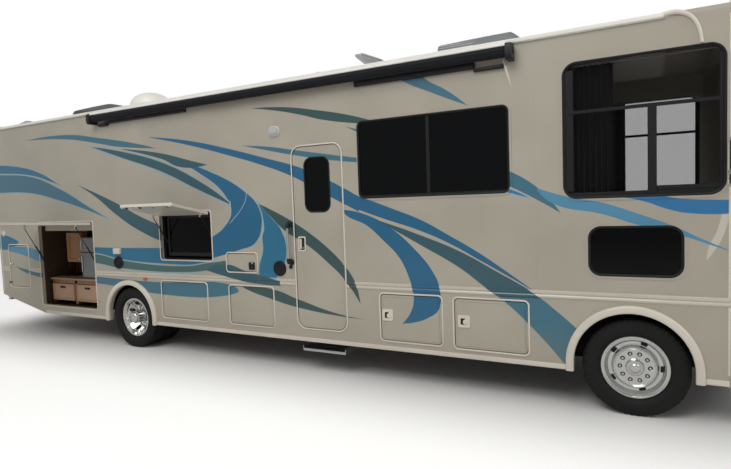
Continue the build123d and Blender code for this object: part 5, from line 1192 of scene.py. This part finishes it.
spout = onto(KERB, np.array([-1.034, -1.018, -0.993, -0.968]), np.array([3.097, 3.042, 2.951, 2.852]),
             np.full(4, 0.004))
piece("gutter_spout", champagne_and_highlight, ROOT, tube(spout, np.array([0.006, 0.012, 0.010, 0.003]), 10))

GUTTER = ((-1.2705, 3.222), (-1.288, 3.224), (-1.297, 3.232), (-1.297, 3.254), (-1.288, 3.264),
          (-1.2705, 3.268))
BEND_X = np.array([0.205, 0.300, 0.400, 0.455, 0.470])
BEND_Z = np.array([3.249, 3.262, 3.215, 3.110, 2.998])
GUTTER_RUN = (-9.190, 0.215)
gutters = [carried([(side * a, b) for a, b in GUTTER], *GUTTER_RUN) for side in (1, -1)]
bends = []
for face in (KERB, STREET):
    bend = softened(onto(face, BEND_X, BEND_Z, 0.006))
    bends.append(tube(bend, np.linspace(0.020, 0.013, len(bend)), 12))
piece("rain_gutters", roof_white, ROOT, *gutters)
piece("gutter_bends", champagne_and_highlight, ROOT, *bends)

# %% [markdown]
# On the roof stand two air conditioners, a satellite dome, a folded aerial and two vent lids. A
# shroud's section is a rounded box whose height and width change along its length, so a
# superellipse with two profiles shapes it, and the louvres are thin slats on its sides.
# %% Roof units
CURB_Z = 3.328


def shroud(x, length, width, height, slope):
    """Across and up follow a superellipse whose half width and height change along the length."""
    t = np.linspace(0, 1, 40)[:, None]
    grow = np.clip(t / 0.02, 0, 1) ** 0.5 * np.clip((1 - t) / slope, 0, 1) ** 0.45
    high = height * (0.95 + 0.05 * np.sin(np.clip(t / 0.8, 0, 1) * math.pi / 2)) * np.maximum(grow, 0.02)
    wide = width / 2 * (0.88 + 0.12 * grow) * np.maximum(grow, 0.3) ** 0.25
    angle = np.linspace(0, math.pi, 33)[None]
    across = wide * np.sign(np.cos(angle)) * np.abs(np.cos(angle)) ** 0.42
    up = high * np.sin(angle) ** 0.42
    points = onto(TOP, x - length / 2 + length * t, across, CURB_Z + up)
    base = onto(TOP, x - length / 2 + length * t, across[:, ::-1] * 0.98, CURB_Z + 0 * up)
    return net(np.concatenate([points, base], 1), around=True, caps=True)


def louvres(x, length, width, height, rows):
    """Slats along both sides of a shroud's rear part, each a thin plate with a drip edge."""
    slats = []
    for i in range(rows):
        part = 0.14 + 0.72 * i / (rows - 1)
        z = CURB_Z + height * part
        reach = width / 2 * (1 - part ** 4.76) ** 0.21
        for sign in (-1, 1):
            section = [(sign * (reach - 0.02), z + 0.010), (sign * (reach + 0.004), z + 0.002),
                       (sign * (reach + 0.006), z - 0.003), (sign * (reach - 0.02), z + 0.004)]
            slats.append(carried(section, x - length / 2 + 0.03, x - length / 2 + length * 0.42))
    return slats


SHROUD_X = {"front": -1.500, "rear": -8.050}
# Length, width, height, and the share of the length over which the front end slopes down
SHROUD = (1.030, 0.680, 0.325, 0.20)
# Length, width and height that the slats follow, and their number on each side
SLATS = (1.030, 0.684, 0.310, 9)
# The front shroud's grey is painted shade
front_shroud = piece("shroud_front", shade_grey_shroud, ROOT, shroud(SHROUD_X["front"], *SHROUD))
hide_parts("roof_units")
piece("shroud_rear", grey_plastic, ROOT, shroud(SHROUD_X["rear"], *SHROUD))
piece("louvres_front", white_plastic, ROOT, *louvres(SHROUD_X["front"], *SLATS))
piece("louvres_rear", black_plastic, ROOT, *louvres(SHROUD_X["rear"], *SLATS))

DOME = [(0.200, 0.0), (0.202, 0.034), (0.286, 0.042), (0.290, 0.060)]
DOME += [(0.290 * math.cos(a), 0.060 + 0.185 * math.sin(a)) for a in np.linspace(0.1, 1.565, 14)]
piece("satellite_dome", roof_white, ROOT, turned(TOP, -6.300, -0.600, stood(DOME, CURB_Z), 56))
VENT = ((0, 0.001), (0, 0.030), (0.012, 0.036), (0.016, 0.050), (0.060, 0.066), (0.16, 0.070))
VENT_HALF = 0.23
vents = [plate(TOP, (x - VENT_HALF, x + VENT_HALF, -VENT_HALF, VENT_HALF), 0.04, stood(VENT, CURB_Z))
         for x in (-4.600, -7.000)]
piece("vent_lids", white_plastic, ROOT, *vents)

AERIAL = (-3.300, -0.760)
MAST_FOOT = ((0.055, 0.001), (0.055, 0.050), (0.042, 0.066), (0.030, 0.084), (0.002, 0.086))
wing = onto(TOP, AERIAL[0] + np.array([0.64, 0.70, 0.78, 0.84, 0.84, 0.78, 0.70, 0.64]),
            AERIAL[1] + np.array([-0.04, -0.38, -0.38, -0.06, 0.06, 0.38, 0.38, 0.04]), CURB_Z + 0.084)
middle = wing.mean(0)
layers = np.array([
    middle + (wing - middle) * s + (0, 0, h)
    for s, h in ((0.94, -0.022), (1.0, -0.014), (1.0, 0.010), (0.90, 0.022), (0.45, 0.026))
])
mast = onto(TOP, AERIAL[0] + np.linspace(0, 0.80, 8), AERIAL[1], CURB_Z + 0.066)
piece("aerial", brushed, ROOT, net(layers, around=True, caps=True), tube(mast, 0.016),
      turned(TOP, *AERIAL, stood(MAST_FOOT, CURB_Z), 32))

# %% [markdown]
# Every opening in the side has a bright rolled frame round it, and each small door an embossed
# line inside its edge, pressed in to stiffen the sheet. Both are closed frames with a low arch as
# their section. A third moulding hides the skirt's cut lower edge.
# %% Frames and mouldings
ENTRY = (-3.368, -2.746, 0.509, 2.506)
GALLEY = (-8.145, -6.861, 0.487, 1.738)
SCREEN = (-5.500, -4.617, 1.234, 1.838)
HATCH = (-4.380, -3.928, 1.110, 1.325)
UTILITY = (-8.967, -8.458, 0.735, 1.394)
BAYS = {
    "bay_kerb_1": (-5.522, -4.734, 0.475, 0.944), "bay_kerb_2": (-4.362, -3.710, 0.478, 0.934),
    "bay_kerb_3": (-2.332, -1.676, 0.458, 0.934), "bay_kerb_4": (-1.544, -0.858, 0.450, 0.930),
    "bay_street_1": (-5.522, -4.734, 0.475, 0.944), "bay_street_2": (-4.362, -3.310, 0.478, 0.934),
    "bay_street_3": (-2.332, -0.858, 0.458, 0.934),
}
FRAME = ((-0.0185, 0.0), (-0.0185, 0.0065), (-0.0150, 0.0095), (-0.0065, 0.0095), (-0.0028, 0.0065),
         (-0.0028, 0.0))
EMBOSS = ((0.020, -0.001), (0.022, 0.0022), (0.026, 0.0036), (0.030, 0.0022), (0.032, -0.001))
framed = [(KERB, ENTRY, 0.105), (KERB, GALLEY, 0.030), (KERB, SCREEN, 0.030), (KERB, HATCH, 0.030),
          (KERB, UTILITY, 0.030)]
for name, rect in BAYS.items():
    face = KERB if "kerb" in name else STREET
    framed.append((face, rect, 0.035))
    piece(f"emboss_{name}", paint, name, plate(face, rect, 0.045, EMBOSS, 8, hollow=True))
piece("opening_frames", champagne_and_highlight, ROOT,
      *[plate(face, rect, radius, FRAME, 8, hollow=True) for face, rect, radius in framed])

SILL = ((1.270, 0.353), (1.2765, 0.357), (1.2765, 0.392), (1.2735, 0.398), (1.270, 0.399))
SILL_RUNS = ((-8.080, -6.656), (-5.648, -0.539), (0.499, 0.655))
piece("sill_mouldings", champagne_and_highlight, ROOT,
      *[carried([(side * a, b) for a, b in SILL], *run) for side in (-1, 1) for run in SILL_RUNS])
seams = [bar_on(face, x - 0.008, x + 0.008, low, 3.185, -0.001, 0.005)
         for face in (KERB, STREET) for x, low in ((0.652, 0.440), (-9.194, 0.640))]
piece("cap_seams", champagne_and_highlight, ROOT, *seams)

# %% [markdown]
# A fibreglass flare is a full rounded lip, which a flat band can't show. Its section is a
# superellipse, squarer than a half circle, and it is carried up one leg, over the arch and down
# the other, so one grid of points makes the whole lip.
# %% Wheel arch lips
# Middle and radius of the front arch and the rear one
ARCHES = ((-0.020, 0.455), (-6.152, 0.440))
ARCH_Z, SILL_Z = 0.430, 0.352
LIP_HALF, LIP_OUT = 0.0335, 0.037


def lip(face, x, radius):
    """Across and out follow a superellipse; the path is a half circle on two straight legs."""
    middle = radius + 0.030
    turn = np.linspace(math.pi, 0, 49)
    along = np.concatenate([np.full(4, -middle), middle * np.cos(turn), np.full(4, middle)])
    up = np.concatenate([np.linspace(SILL_Z, ARCH_Z, 5)[:-1], ARCH_Z + middle * np.sin(turn),
                         np.linspace(ARCH_Z, SILL_Z, 5)[1:]])
    out_x = np.concatenate([-np.ones(4), np.cos(turn), np.ones(4)])[:, None]
    out_z = np.concatenate([np.zeros(4), np.sin(turn), np.zeros(4)])[:, None]
    sweep = np.linspace(0, math.pi, 17)[None]
    across = LIP_HALF * np.sign(np.cos(sweep)) * np.abs(np.cos(sweep)) ** 0.45
    out = LIP_OUT * np.sin(sweep) ** 0.45
    return net(onto(face, x + along[:, None] + across * out_x, up[:, None] + across * out_z, out),
               around=True, caps=True)


lips = [lip(face, x, radius) for face in (KERB, STREET) for x, radius in ARCHES]
piece("wheel_arch_lips", champagne_and_highlight, ROOT, *lips)

# %% [markdown]
# Seen from outside, a raised lid shows its pale inner tray, its latches and its rubber stops. The
# tray is drawn closed, in the wall's own face, and then turned up about the hinge line.
# %% Lid trays
LIDS = {"galley_lid": GALLEY, "screen_lid": SCREEN}
TRAY = ((0.002, -0.002), (0.0008, -0.004), (0.0008, -0.033), (0.003, -0.0372), (0.014, -0.0378),
        (0.018, -0.0365), (0.060, -0.0365))


def raised(shape, lid):
    """A closed lid's shape turned up about its hinge: a rotation about the vehicle's length."""
    pivot = np.array(joints[f"{lid}_hinge"]["pos_m"])
    angle = math.radians(max(joints[f"{lid}_hinge"]["range_deg"]))
    arm = shape[0] - pivot
    y = arm[:, 1] * math.cos(angle) + arm[:, 2] * math.sin(angle)
    z = arm[:, 2] * math.cos(angle) - arm[:, 1] * math.sin(angle)
    return pivot + np.stack([arm[:, 0], y, z], 1), shape[1]


INWARD = KERB * np.array([[1], [1], [1], [-1]])
for lid, rect in LIDS.items():
    left, right, low, high = inside_of(rect, 0.006)
    piece(f"{lid}_tray", champagne_and_highlight, lid, raised(plate(KERB, (left, right, low, high), 0.024, TRAY, 6), lid))
    stops = [turned(INWARD, left + (right - left) * part, low + 0.040,
                    ((0.017, 0.036), (0.017, 0.044), (0.012, 0.050), (0.001, 0.051)), 20)
             for part in (0.10, 0.37, 0.63, 0.90)]
    piece(f"{lid}_stops", black_plastic, lid, *[raised(shape, lid) for shape in stops])
    clips = [plate(INWARD, (x - 0.018, x + 0.018, low + 0.008, low + 0.026), 0.003,
                   ((0, 0.036), (0, 0.044), (0.003, 0.046), (0.008, 0.046)), 3)
             for x in (left + (right - left) * part for part in (0.05, 0.33, 0.67, 0.95))]
    piece(f"{lid}_strikers", white_plastic, lid, *[raised(shape, lid) for shape in clips])

# %% [markdown]
# The outdoor galley is cabinet work: veneered drawer fronts with a cut hand slot, a raised-panel
# cupboard door, a laminate worktop with a rounded nose, and a small refrigerator in grey enamel.
# Each front is one plate whose profile steps give its rounded edge and its panel.
# %% Outdoor galley
DRAWER_X = ((-8.078, -7.562), (-7.490, -6.974))
DRAWER_Z = (0.545, 0.800)
CABINET = -0.235
# Profiles of a drawer front, a raised panel and a refrigerator door
SLAB = ((0, 0), (0, 0.110), (0.004, 0.118), (0.016, 0.120), (0.020, 0.117), (0.024, 0.120), (0.06, 0.120))
PANEL = ((0, 0), (0, 0.072), (0.004, 0.078), (0.046, 0.078), (0.053, 0.067), (0.066, 0.067), (0.086, 0.075),
         (0.11, 0.075))
DOOR = ((0, 0), (0, 0.062), (0.005, 0.070), (0.020, 0.072), (0.10, 0.072))

fronts = [plate(KERB, (*run, *DRAWER_Z), 0.006, stood(SLAB, CABINET), 4) for run in DRAWER_X]
piece("drawer_fronts", drawer_wood, ROOT, *fronts)
slots = [plate(KERB, ((a + b) / 2 - 0.066, (a + b) / 2 + 0.066, 0.735, 0.767), 0.015,
               stood(((0, 0.116), (0, 0.1205), (0.003, 0.1215), (0.014, 0.1215)), CABINET), 8)
         for a, b in DRAWER_X]
piece("drawer_slots", gasket_rubber, ROOT, *slots)
rails = [plate(KERB, (left, right, 0.500, 0.862), 0.003,
               stood(((0, 0), (0, 0.095), (0.003, 0.098), (0.012, 0.098)), CABINET), 3)
         for left, right in ((-8.100, -8.084), (-7.555, -7.497), (-6.966, -6.905))]
rails.append(plate(KERB, (-8.100, -6.905, 0.806, 0.860), 0.003,
                   stood(((0, 0), (0, 0.095), (0.003, 0.098), (0.02, 0.098)), CABINET), 3))
piece("cabinet_rails", golden_wood, ROOT, *rails)
piece("cupboard_door", golden_wood, ROOT,
      plate(KERB, (-7.790, -7.440, 1.128, 1.575), 0.006, stood(PANEL, -0.277), 4))
KNOB = ((0.006, 0), (0.006, 0.012), (0.013, 0.018), (0.013, 0.024), (0.001, 0.027))
piece("cupboard_knob", brushed, ROOT, turned(KERB, -7.472, 1.180, stood(KNOB, -0.200), 20))
NOSING = ((-1.080, 0.8600), (-1.1560, 0.8600), (-1.1610, 0.8645), (-1.1610, 0.8850), (-1.1560, 0.8905),
          (-0.680, 0.8925), (-0.680, 0.8600))
piece("worktop", pale_board, ROOT, carried(NOSING, -8.100, -6.905),
      carried([(max(y, -1.098), z) for y, z in NOSING], -8.145, -6.862))
fridge = [plate(KERB, (-7.396, -6.900, low, high), 0.012, stood(DOOR, CABINET), 5)
          for low, high in ((0.905, 1.278), (1.288, 1.503))]
piece("fridge_doors", fridge_enamel, ROOT, *fridge)
piece("fridge_handle", brushed, ROOT,
      *[bar_on(KERB, -7.382, -7.366, low, high, CABINET + 0.071, 0.016)
        for low, high in ((0.990, 1.230), (1.320, 1.460))])
piece("galley_header", roof_paint, ROOT,
      plate(KERB, (-8.095, -6.910, 1.612, 1.736), 0.004,
            ((0, -0.130), (0, -0.074), (0.004, -0.070), (0.02, -0.070)), 3))
# The tap and the plate under it are black: painted shade for the dark recess under the cupboard
shaded_tap_path = softened(onto(KERB, np.full(5, -7.900), np.array([0.890, 1.050, 1.110, 1.100, 1.040]),
                    np.array([-0.42, -0.42, -0.39, -0.31, -0.30])))
piece("galley_tap", black_plastic, ROOT, tube(shaded_tap_path, 0.011),
      plate(TOP, (-8.08, -7.82, -0.98, -0.72), 0.04, ((0.0, 0.880), (0.0, 0.896), (0.006, 0.899),
                                                      (0.018, 0.899), (0.024, 0.894), (0.05, 0.8935)), 6))

# %% [markdown]
# The television nearly fills its opening. Its case is a frame round the glass, deeper below where
# the speaker slots are, and a black panel with rounded corners hides the gap about it.
# %% Television
SET = (-5.452, -4.668, 1.270, 1.790)
SET_OUT = -0.085
piece("television_case", black_plastic, ROOT,
      plate(KERB, SET, 0.016, stood(((0, -0.110), (0, 0.004), (0.004, 0.009), (0.020, 0.009),
                                     (0.026, 0.001), (0.026, -0.110)), SET_OUT), 6, hollow=True),
      bar_on(KERB, SET[0] + 0.02, SET[1] - 0.02, SET[2] + 0.022, SET[2] + 0.048, SET_OUT, 0.005),
      *[bar_on(KERB, SET[0] + 0.06 + 0.030 * i, SET[0] + 0.075 + 0.030 * i, SET[2] + 0.030, SET[2] + 0.038,
               SET_OUT + 0.004, 0.003)
        for i in range(6)])
piece("television_glass", screen_black, ROOT,
      plate(KERB, inside_of(SET, 0.024), 0.006,
            stood(((0, -0.012), (0, -0.002), (0.001, -0.001), (0.1, -0.001)), SET_OUT), 4))
piece("television_surround", gasket_rubber, ROOT,
      plate(KERB, inside_of(SCREEN, 0.002), 0.028, ((0.0, -0.205), (0.0, -0.058), (0.004, -0.054),
                                                    (0.010, -0.058), (0.012, -0.196), (0.075, -0.196),
                                                    (0.075, -0.205)), 8, hollow=True))

# %% [markdown]
# Captain's seats are foam cushions in leather. A cushion is a closed form that swells toward its
# middle, with a welt round its edge where the covers are sewn, so its profile rises steeply at the
# edge and flattens inward. The same profile, in a tilted face, gives the back and the headrest.
# %% Cab seats


def cushion(face, rect, radius, thick, crown):
    """Rings of a pillow: the height above the welt grows as the root of the inset."""
    half = min(rect[1] - rect[0], rect[3] - rect[2]) / 2
    inset = np.array([0.0, 0.02, 0.06, 0.14, 0.26, 0.42, 0.62, 0.85]) * half
    rise = thick + crown * np.sqrt(inset / inset[-1])
    lower = [(0.10 * half, 0.0), (0.03 * half, 0.004), (0.0, 0.18 * thick), (-0.004, 0.50 * thick),
             (0.0, 0.82 * thick)]
    welt = [(-0.006, 0.86 * thick), (-0.010, 0.92 * thick), (-0.006, 0.98 * thick)]
    return plate(face, rect, radius, lower + welt + list(zip(inset.tolist(), rise.tolist())), 8)


SEAT_Y = 0.760
SEAT_LEAN = 10
shells, frames = [], []
for side, y in (("kerb", -SEAT_Y), ("street", SEAT_Y)):
    seat = np.array([spot(0, y, 0), [1, 0, 0], [0, 1, 0], [0, 0, 1]])
    lean = math.radians(SEAT_LEAN)
    back = np.array([spot(-0.570, y, 1.475), [0, 1, 0], [-math.sin(lean), 0, math.cos(lean)],
                     [math.cos(lean), 0, math.sin(lean)]])
    # Face, rectangle, corner, height of the welt, crown above it, and how far out it all lies
    cushions = {
        "seat": (seat, (-0.560, -0.040, -0.250, 0.250), 0.080, 0.110, 0.030, 1.362),
        "back": (back, (-0.245, 0.245, 0.030, 0.710), 0.110, 0.080, 0.040, -0.050),
        "headrest": (back, (-0.140, 0.140, 0.705, 0.880), 0.060, 0.060, 0.022, -0.030),
        "arm_inner": (seat, (-0.560, -0.140, 0.248, 0.300), 0.024, 0.045, 0.008, 1.640),
        "arm_outer": (seat, (-0.560, -0.140, -0.300, -0.248), 0.024, 0.045, 0.008, 1.640),
    }
    for part, (face, rect, radius, thick, crown, out) in cushions.items():
        moved = face.copy()
        moved[0] += out * face[3]
        made = piece(f"cab_{part}_{side}", seat_leather, ROOT, cushion(moved, rect, radius, thick, crown))
    shells.append(plate(back, (-0.235, 0.235, 0.010, 0.700), 0.100,
                        ((0.03, -0.072), (0.006, -0.068), (0, -0.055), (0, -0.046), (0.03, -0.044)), 8))
    shells.append(plate(seat, (-0.550, -0.050, -0.240, 0.240), 0.070,
                        ((0.01, 1.352), (0, 1.356), (0, 1.364), (0.02, 1.366)), 8))
    frames.append(plate(seat, (-0.480, -0.130, -0.170, 0.170), 0.050,
                        ((0, 1.056), (0, 1.070), (0.030, 1.100), (0.045, 1.300), (0.010, 1.340),
                         (0.0, 1.353)), 6))
    frames += [tube(softened(onto(seat, np.array([-0.52, -0.52, -0.50]), np.full(3, s * 0.272),
                                  np.array([1.400, 1.560, 1.645]))), 0.014) for s in (-1, 1)]
seat_shells = piece("cab_seat_shells", black_plastic, ROOT, *shells)
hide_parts("cab_seats")
piece("cab_seat_frames", chassis_paint, ROOT, *frames)

# %% [markdown]
# A curtain that is drawn back hangs in even folds. Its depth is a wave along the rail, and the
# folds open a little toward the hem. The cloth's flat width is the length of that wave, measured
# along it, so the same formula gives the size it was cut to.
# %% Cab curtains
RAIL_TOP, HEM = 2.960, 1.850
CURTAIN_RUN = (-0.520, -0.150)
CURTAIN_OUT = -0.078
FOLDS = 8


def curtain(face, start, end):
    """Out follows a wave whose height grows from the rail to the hem."""
    along = np.linspace(start, end, FOLDS * 16 + 1)[None]
    drop = np.linspace(0, 1, 25)[:, None]
    phase = (along - start) / (end - start) * FOLDS * 2 * math.pi
    depth = (0.012 + 0.010 * drop) * np.sin(phase) + 0.003 * np.sin(phase * 0.5 + 3 * drop)
    height = RAIL_TOP + (HEM - RAIL_TOP) * drop
    points = onto(face, along + 0 * drop, height + 0 * along, depth + CURTAIN_OUT)
    flat = np.linalg.norm(np.diff(points, axis=1), axis=2).sum(1).mean()
    return points, float(flat)


for side, face in (("kerb", KERB), ("street", STREET)):
    points, flat = curtain(face, *CURTAIN_RUN)
    cloth = piece(f"cab_curtain_{side}", curtain_cloth, ROOT, net(points), crease=80.0)
    rail = piece(f"curtain_rail_{side}", brushed, ROOT,
                 tube(onto(face, np.linspace(-0.53, 0.62, 6), RAIL_TOP + 0.004, CURTAIN_OUT), 0.006))
    print("curtain", side, "cut to", round(flat, 3), "by", round(RAIL_TOP - HEM, 3), "m")

# %% [markdown]
# Each mirror head holds a flat glass over a small wide-angle one, both in a thin surround. The two
# glasses are low plates that face backward, on the head's rear face.
# %% Mirrors
MIRROR_X, MIRROR_Y, MIRROR_HALF = 0.6345, 1.460, 0.088
glasses, frames = [], []
for side in (-1, 1):
    back = np.array([[AXLE_X + MIRROR_X, CENTRE_Y, 0], [0, 1, 0], [0, 0, 1], [-1, 0, 0]], float)
    for low, high in ((2.010, 2.240), (1.910, 1.995)):
        rect = (side * MIRROR_Y - MIRROR_HALF, side * MIRROR_Y + MIRROR_HALF, low, high)
        glasses.append(plate(back, inside_of(rect, 0.006), 0.028,
                             ((0, 0), (0, 0.002), (0.003, 0.003), (0.05, 0.0032)), 8))
        frames.append(plate(back, rect, 0.034, ((0, -0.001), (0, 0.004), (0.002, 0.006), (0.006, 0.006),
                                                (0.008, 0.001), (0.008, -0.001)), 8, hollow=True))
piece("mirror_glass", chrome, ROOT, *glasses)
piece("mirror_surrounds", champagne_and_highlight, ROOT, *frames)

# %% [markdown]
# Behind a clear lens sit two reflector bowls with a projector each, and a fog lamp lower down. A
# bowl is a turned profile, deep and polished, and a black plate behind it closes the housing.
# %% Head lamps
BOWL = ((0.074, 0.0), (0.068, -0.002), (0.060, -0.018), (0.040, -0.038), (0.020, -0.046), (0.001, -0.047))
BULB = ((0.030, -0.030), (0.030, -0.006), (0.020, 0.004), (0.001, 0.008))
# Distance from the centreline and from the axle of the two bowls, and the height of both
HEAD_BOWLS = ((0.775, 1.135), (0.925, 1.115))
HEAD_Z = 0.745
FOG_Y, FOG_Z, FOG_X = 0.830, 0.470, 1.135
FOG_BOWL = [(radius * 0.6, FOG_X + height * 0.6) for radius, height in BOWL]
# Middle and half width of a housing, its lower and upper edge, corner, and its plate's steps
HOUSINGS = ((0.850, 0.155, 0.645, 0.845, 0.04, (1.055, 1.078, 1.082)),
            (FOG_Y, 0.105, 0.424, 0.516, 0.03, (1.080, 1.098, 1.100)))
bowls, bulbs, backs = [], [], []
for side in (-1, 1):
    for y, x in HEAD_BOWLS:
        bowls.append(turned(AHEAD, side * y, HEAD_Z, stood(BOWL, x), 36))
        bulbs.append(turned(AHEAD, side * y, HEAD_Z, stood(BULB, x), 28))
    bowls.append(turned(AHEAD, side * FOG_Y, FOG_Z, FOG_BOWL, 28))
    for middle, half, low, high, radius, (back, edge, front) in HOUSINGS:
        backs.append(plate(AHEAD, (side * middle - half, side * middle + half, low, high), radius,
                           ((0, back), (0, edge), (0.01, front), (0.03, front)), 6))
piece("lamp_bowls", chrome, ROOT, *bowls)
piece("lamp_projectors", clear_lens, ROOT, *bulbs)
piece("lamp_housings", black_plastic, ROOT, *backs)

# %% [markdown]
# The step's tread has rubber ribs across it, so that a wet shoe holds. Its place comes from the
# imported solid's own points, and the ribs ride on the tread when it swings out.
# %% Step ribs


def extent(name):
    """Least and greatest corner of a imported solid, from its points."""
    mesh = frame["nodes"][name].data
    points = np.empty(len(mesh.vertices) * 3)
    mesh.vertices.foreach_get("co", points)
    points = points.reshape(-1, 3)
    return points.min(0), points.max(0)


low, high = extent("step_tread")
tread = np.array([[0, 0, high[2] - 0.0005], [1, 0, 0], [0, 1, 0], [0, 0, 1]], float)
RIB = ((0, -0.002), (0.001, 0.0008), (0.003, 0.0014), (0.005, 0.0015))
ribs = [plate(tread, (low[0] + 0.030, high[0] - 0.030, y - 0.006, y + 0.006), 0.005, RIB, 4)
        for y in np.linspace(low[1] + 0.040, high[1] - 0.040, 9)]
piece("tread_ribs", black_plastic, "step_tread", *ribs)
print("step tread from", low.round(3), "to", high.round(3))

# %% [markdown]
# Five small clearance lamps sit on each end of the roof, and two wipers rest on the windscreen.
# Both follow curved skins, so a ray finds each point of the skin and the direction out of it.
# %% Clearance lamps and wipers


def skin(names, start, toward):
    """The first point, and the direction out of it, where a ray meets one of the named solids."""
    start = spot(*start)
    found = [frame["nodes"][name].ray_cast(Vector(start), Vector(toward)) for name in names]
    found = [(np.array(place), np.array(normal)) for hit, place, normal, _ in found if hit]
    return min(found, key=lambda pair: np.linalg.norm(pair[0] - start))


CLEARANCE = ((0, -0.006), (0, 0.012), (0.004, 0.018), (0.010, 0.020))
bpy.context.view_layer.update()
for end, x, z, lens in (("front", 3.0, 3.010, amber_lens), ("rear", -12.0, 3.070, red_lens)):
    lamps = []
    for y in (-0.95, -0.25, 0.0, 0.25, 0.95):
        place, out = skin([f"{end}_cap"], (x, y, z), (-math.copysign(1, x), 0, 0))
        up = np.cross(out, (0, 1, 0))
        up /= np.linalg.norm(up)
        lamps.append(plate(np.array([place, np.cross(up, out), up, out]), (-0.045, 0.045, -0.014, 0.014),
                           0.013, CLEARANCE))
    piece(f"clearance_lamps_{end}", lens, ROOT, *lamps)

# Run of the arm and of the blade over the glass (across, height), how far each stands off, its radius
WIPER_PARTS = (
    (((0, 1.265), (-0.18, 1.300), (-0.36, 1.340), (-0.52, 1.385)), (0.010, 0.034, 0.040, 0.026), 0.008),
    (((-0.84, 1.400), (-0.68, 1.392), (-0.52, 1.385), (-0.36, 1.378), (-0.20, 1.370)), (0.010,) * 5,
     0.0085),
)
WIPER_PIVOTS = (-0.10, 0.92)
wipers = []
for y in WIPER_PIVOTS:
    for run, stand, radius in WIPER_PARTS:
        found = [skin(["windscreen", "front_cap"], (3.0, y + a, z), (-1, 0, 0)) for a, z in run]
        path = [place + out * lift for (place, out), lift in zip(found, stand)]
        wipers.append(tube(softened(path, 2), radius, 8))
piece("wipers", black_plastic, ROOT, *wipers)

# %% [markdown]
# The studio is a pale floor under an even sky, with one large soft lamp from the kerb side and
# fainter ones from the front and the street side. They light a surface about as its colour is written.
# Camera rays see a plain white sky, and the object is lit by a dimmer one. The floor adds a little
# white of its own for the camera only, and none under the vehicle, so that it stays pale with a
# dark contact shadow and without more light on the object.
# %% Studio
SKY_LIGHT = 0.40
SKY_GLOSS = 0.50
FLOOR_GLOW = 0.42
FOOTPRINT_MIDDLE = (-4.2, 0.0, 0.0)
FOOTPRINT_HALF = (4.9, 1.0, 1.0)
SHADOW_FADE = 1.6
world = bpy.data.worlds.new("studio_sky")
world.use_nodes = True
bpy.context.scene.world = world
sky = world.node_tree
rays = add(sky, "LightPath", out="Is Camera Ray").node.outputs
seen = add(sky, "Math", {0: rays["Is Camera Ray"], 1: rays["Is Transmission Ray"]}, operation="MAXIMUM")
lit = add(sky, "MapRange", {0: rays["Is Glossy Ray"], 3: SKY_LIGHT, 4: SKY_GLOSS})
feed(sky, sky.nodes["Background"], {
    "Color": (1.0, 1.0, 1.0, 1.0),
    "Strength": add(sky, "MapRange", {0: seen, 3: lit, 4: 1.0}),
})

FLOOR_REACH = 120.0
floor_mesh = bpy.data.meshes.new("studio_floor")
corners = FLOOR_REACH * np.array([(-1, -1, 0), (1, -1, 0), (1, 1, 0), (-1, 1, 0)])
floor_mesh.from_pydata(corners.tolist(), [], [(0, 1, 2, 3)])
studio_floor = bpy.data.objects.new("studio_floor", floor_mesh)
bpy.context.scene.collection.objects.link(studio_floor)
pale_floor, tree, shader, place = surface("pale_floor", Base_Color=linear("#E4E3E0"), Roughness=0.9)
shader.inputs["Emission Color"].default_value = linear("#FFFFFF")
camera_ray = add(tree, "LightPath", out="Is Camera Ray")
away = add(tree, "VectorMath", {0: place, 1: spot(*FOOTPRINT_MIDDLE).tolist()}, operation="SUBTRACT")
away = add(tree, "VectorMath", {0: away}, operation="ABSOLUTE")
away = add(tree, "VectorMath", {0: away, 1: FOOTPRINT_HALF}, operation="SUBTRACT")
away = add(tree, "VectorMath", {0: away, 1: (0.0, 0.0, 0.0)}, operation="MAXIMUM")
away = add(tree, "VectorMath", {0: away}, out="Value", operation="LENGTH")
glow = add(tree, "MapRange", {0: away, 2: SHADOW_FADE, 3: 0.0, 4: FLOOR_GLOW},
           interpolation_type="SMOOTHSTEP")
feed(tree, shader, {"Emission Strength": add(tree, "Math", {0: camera_ray, 1: glow}, operation="MULTIPLY")})
floor_mesh.materials.append(pale_floor)

# Name, place from the front axle, what it looks at, size in metres, watts
LAMPS = (
    ("kerb_softbox", (-3.0, -10.0, 11.0), (-4.0, 0.0, 1.4), 7.0, 760.0),
    ("front_softbox", (9.0, -3.0, 8.0), (-1.0, 0.0, 1.6), 5.0, 260.0),
    ("street_softbox", (-4.0, 11.0, 7.0), (-4.0, 0.0, 1.4), 9.0, 340.0),
)
for name, place, target, size, watts in LAMPS:
    lamp = bpy.data.lights.new(name, "AREA")
    lamp.shape = "SQUARE"
    lamp.size = size
    lamp.energy = watts
    holder = bpy.data.objects.new(name, lamp)
    bpy.context.scene.collection.objects.link(holder)
    holder.location = Vector(spot(*place))
    aim = Vector(spot(*target)) - holder.location
    holder.rotation_euler = aim.to_track_quat("-Z", "Y").to_euler()
bpy.context.scene.view_settings.view_transform = "Standard"
print("lamps:", len(LAMPS))
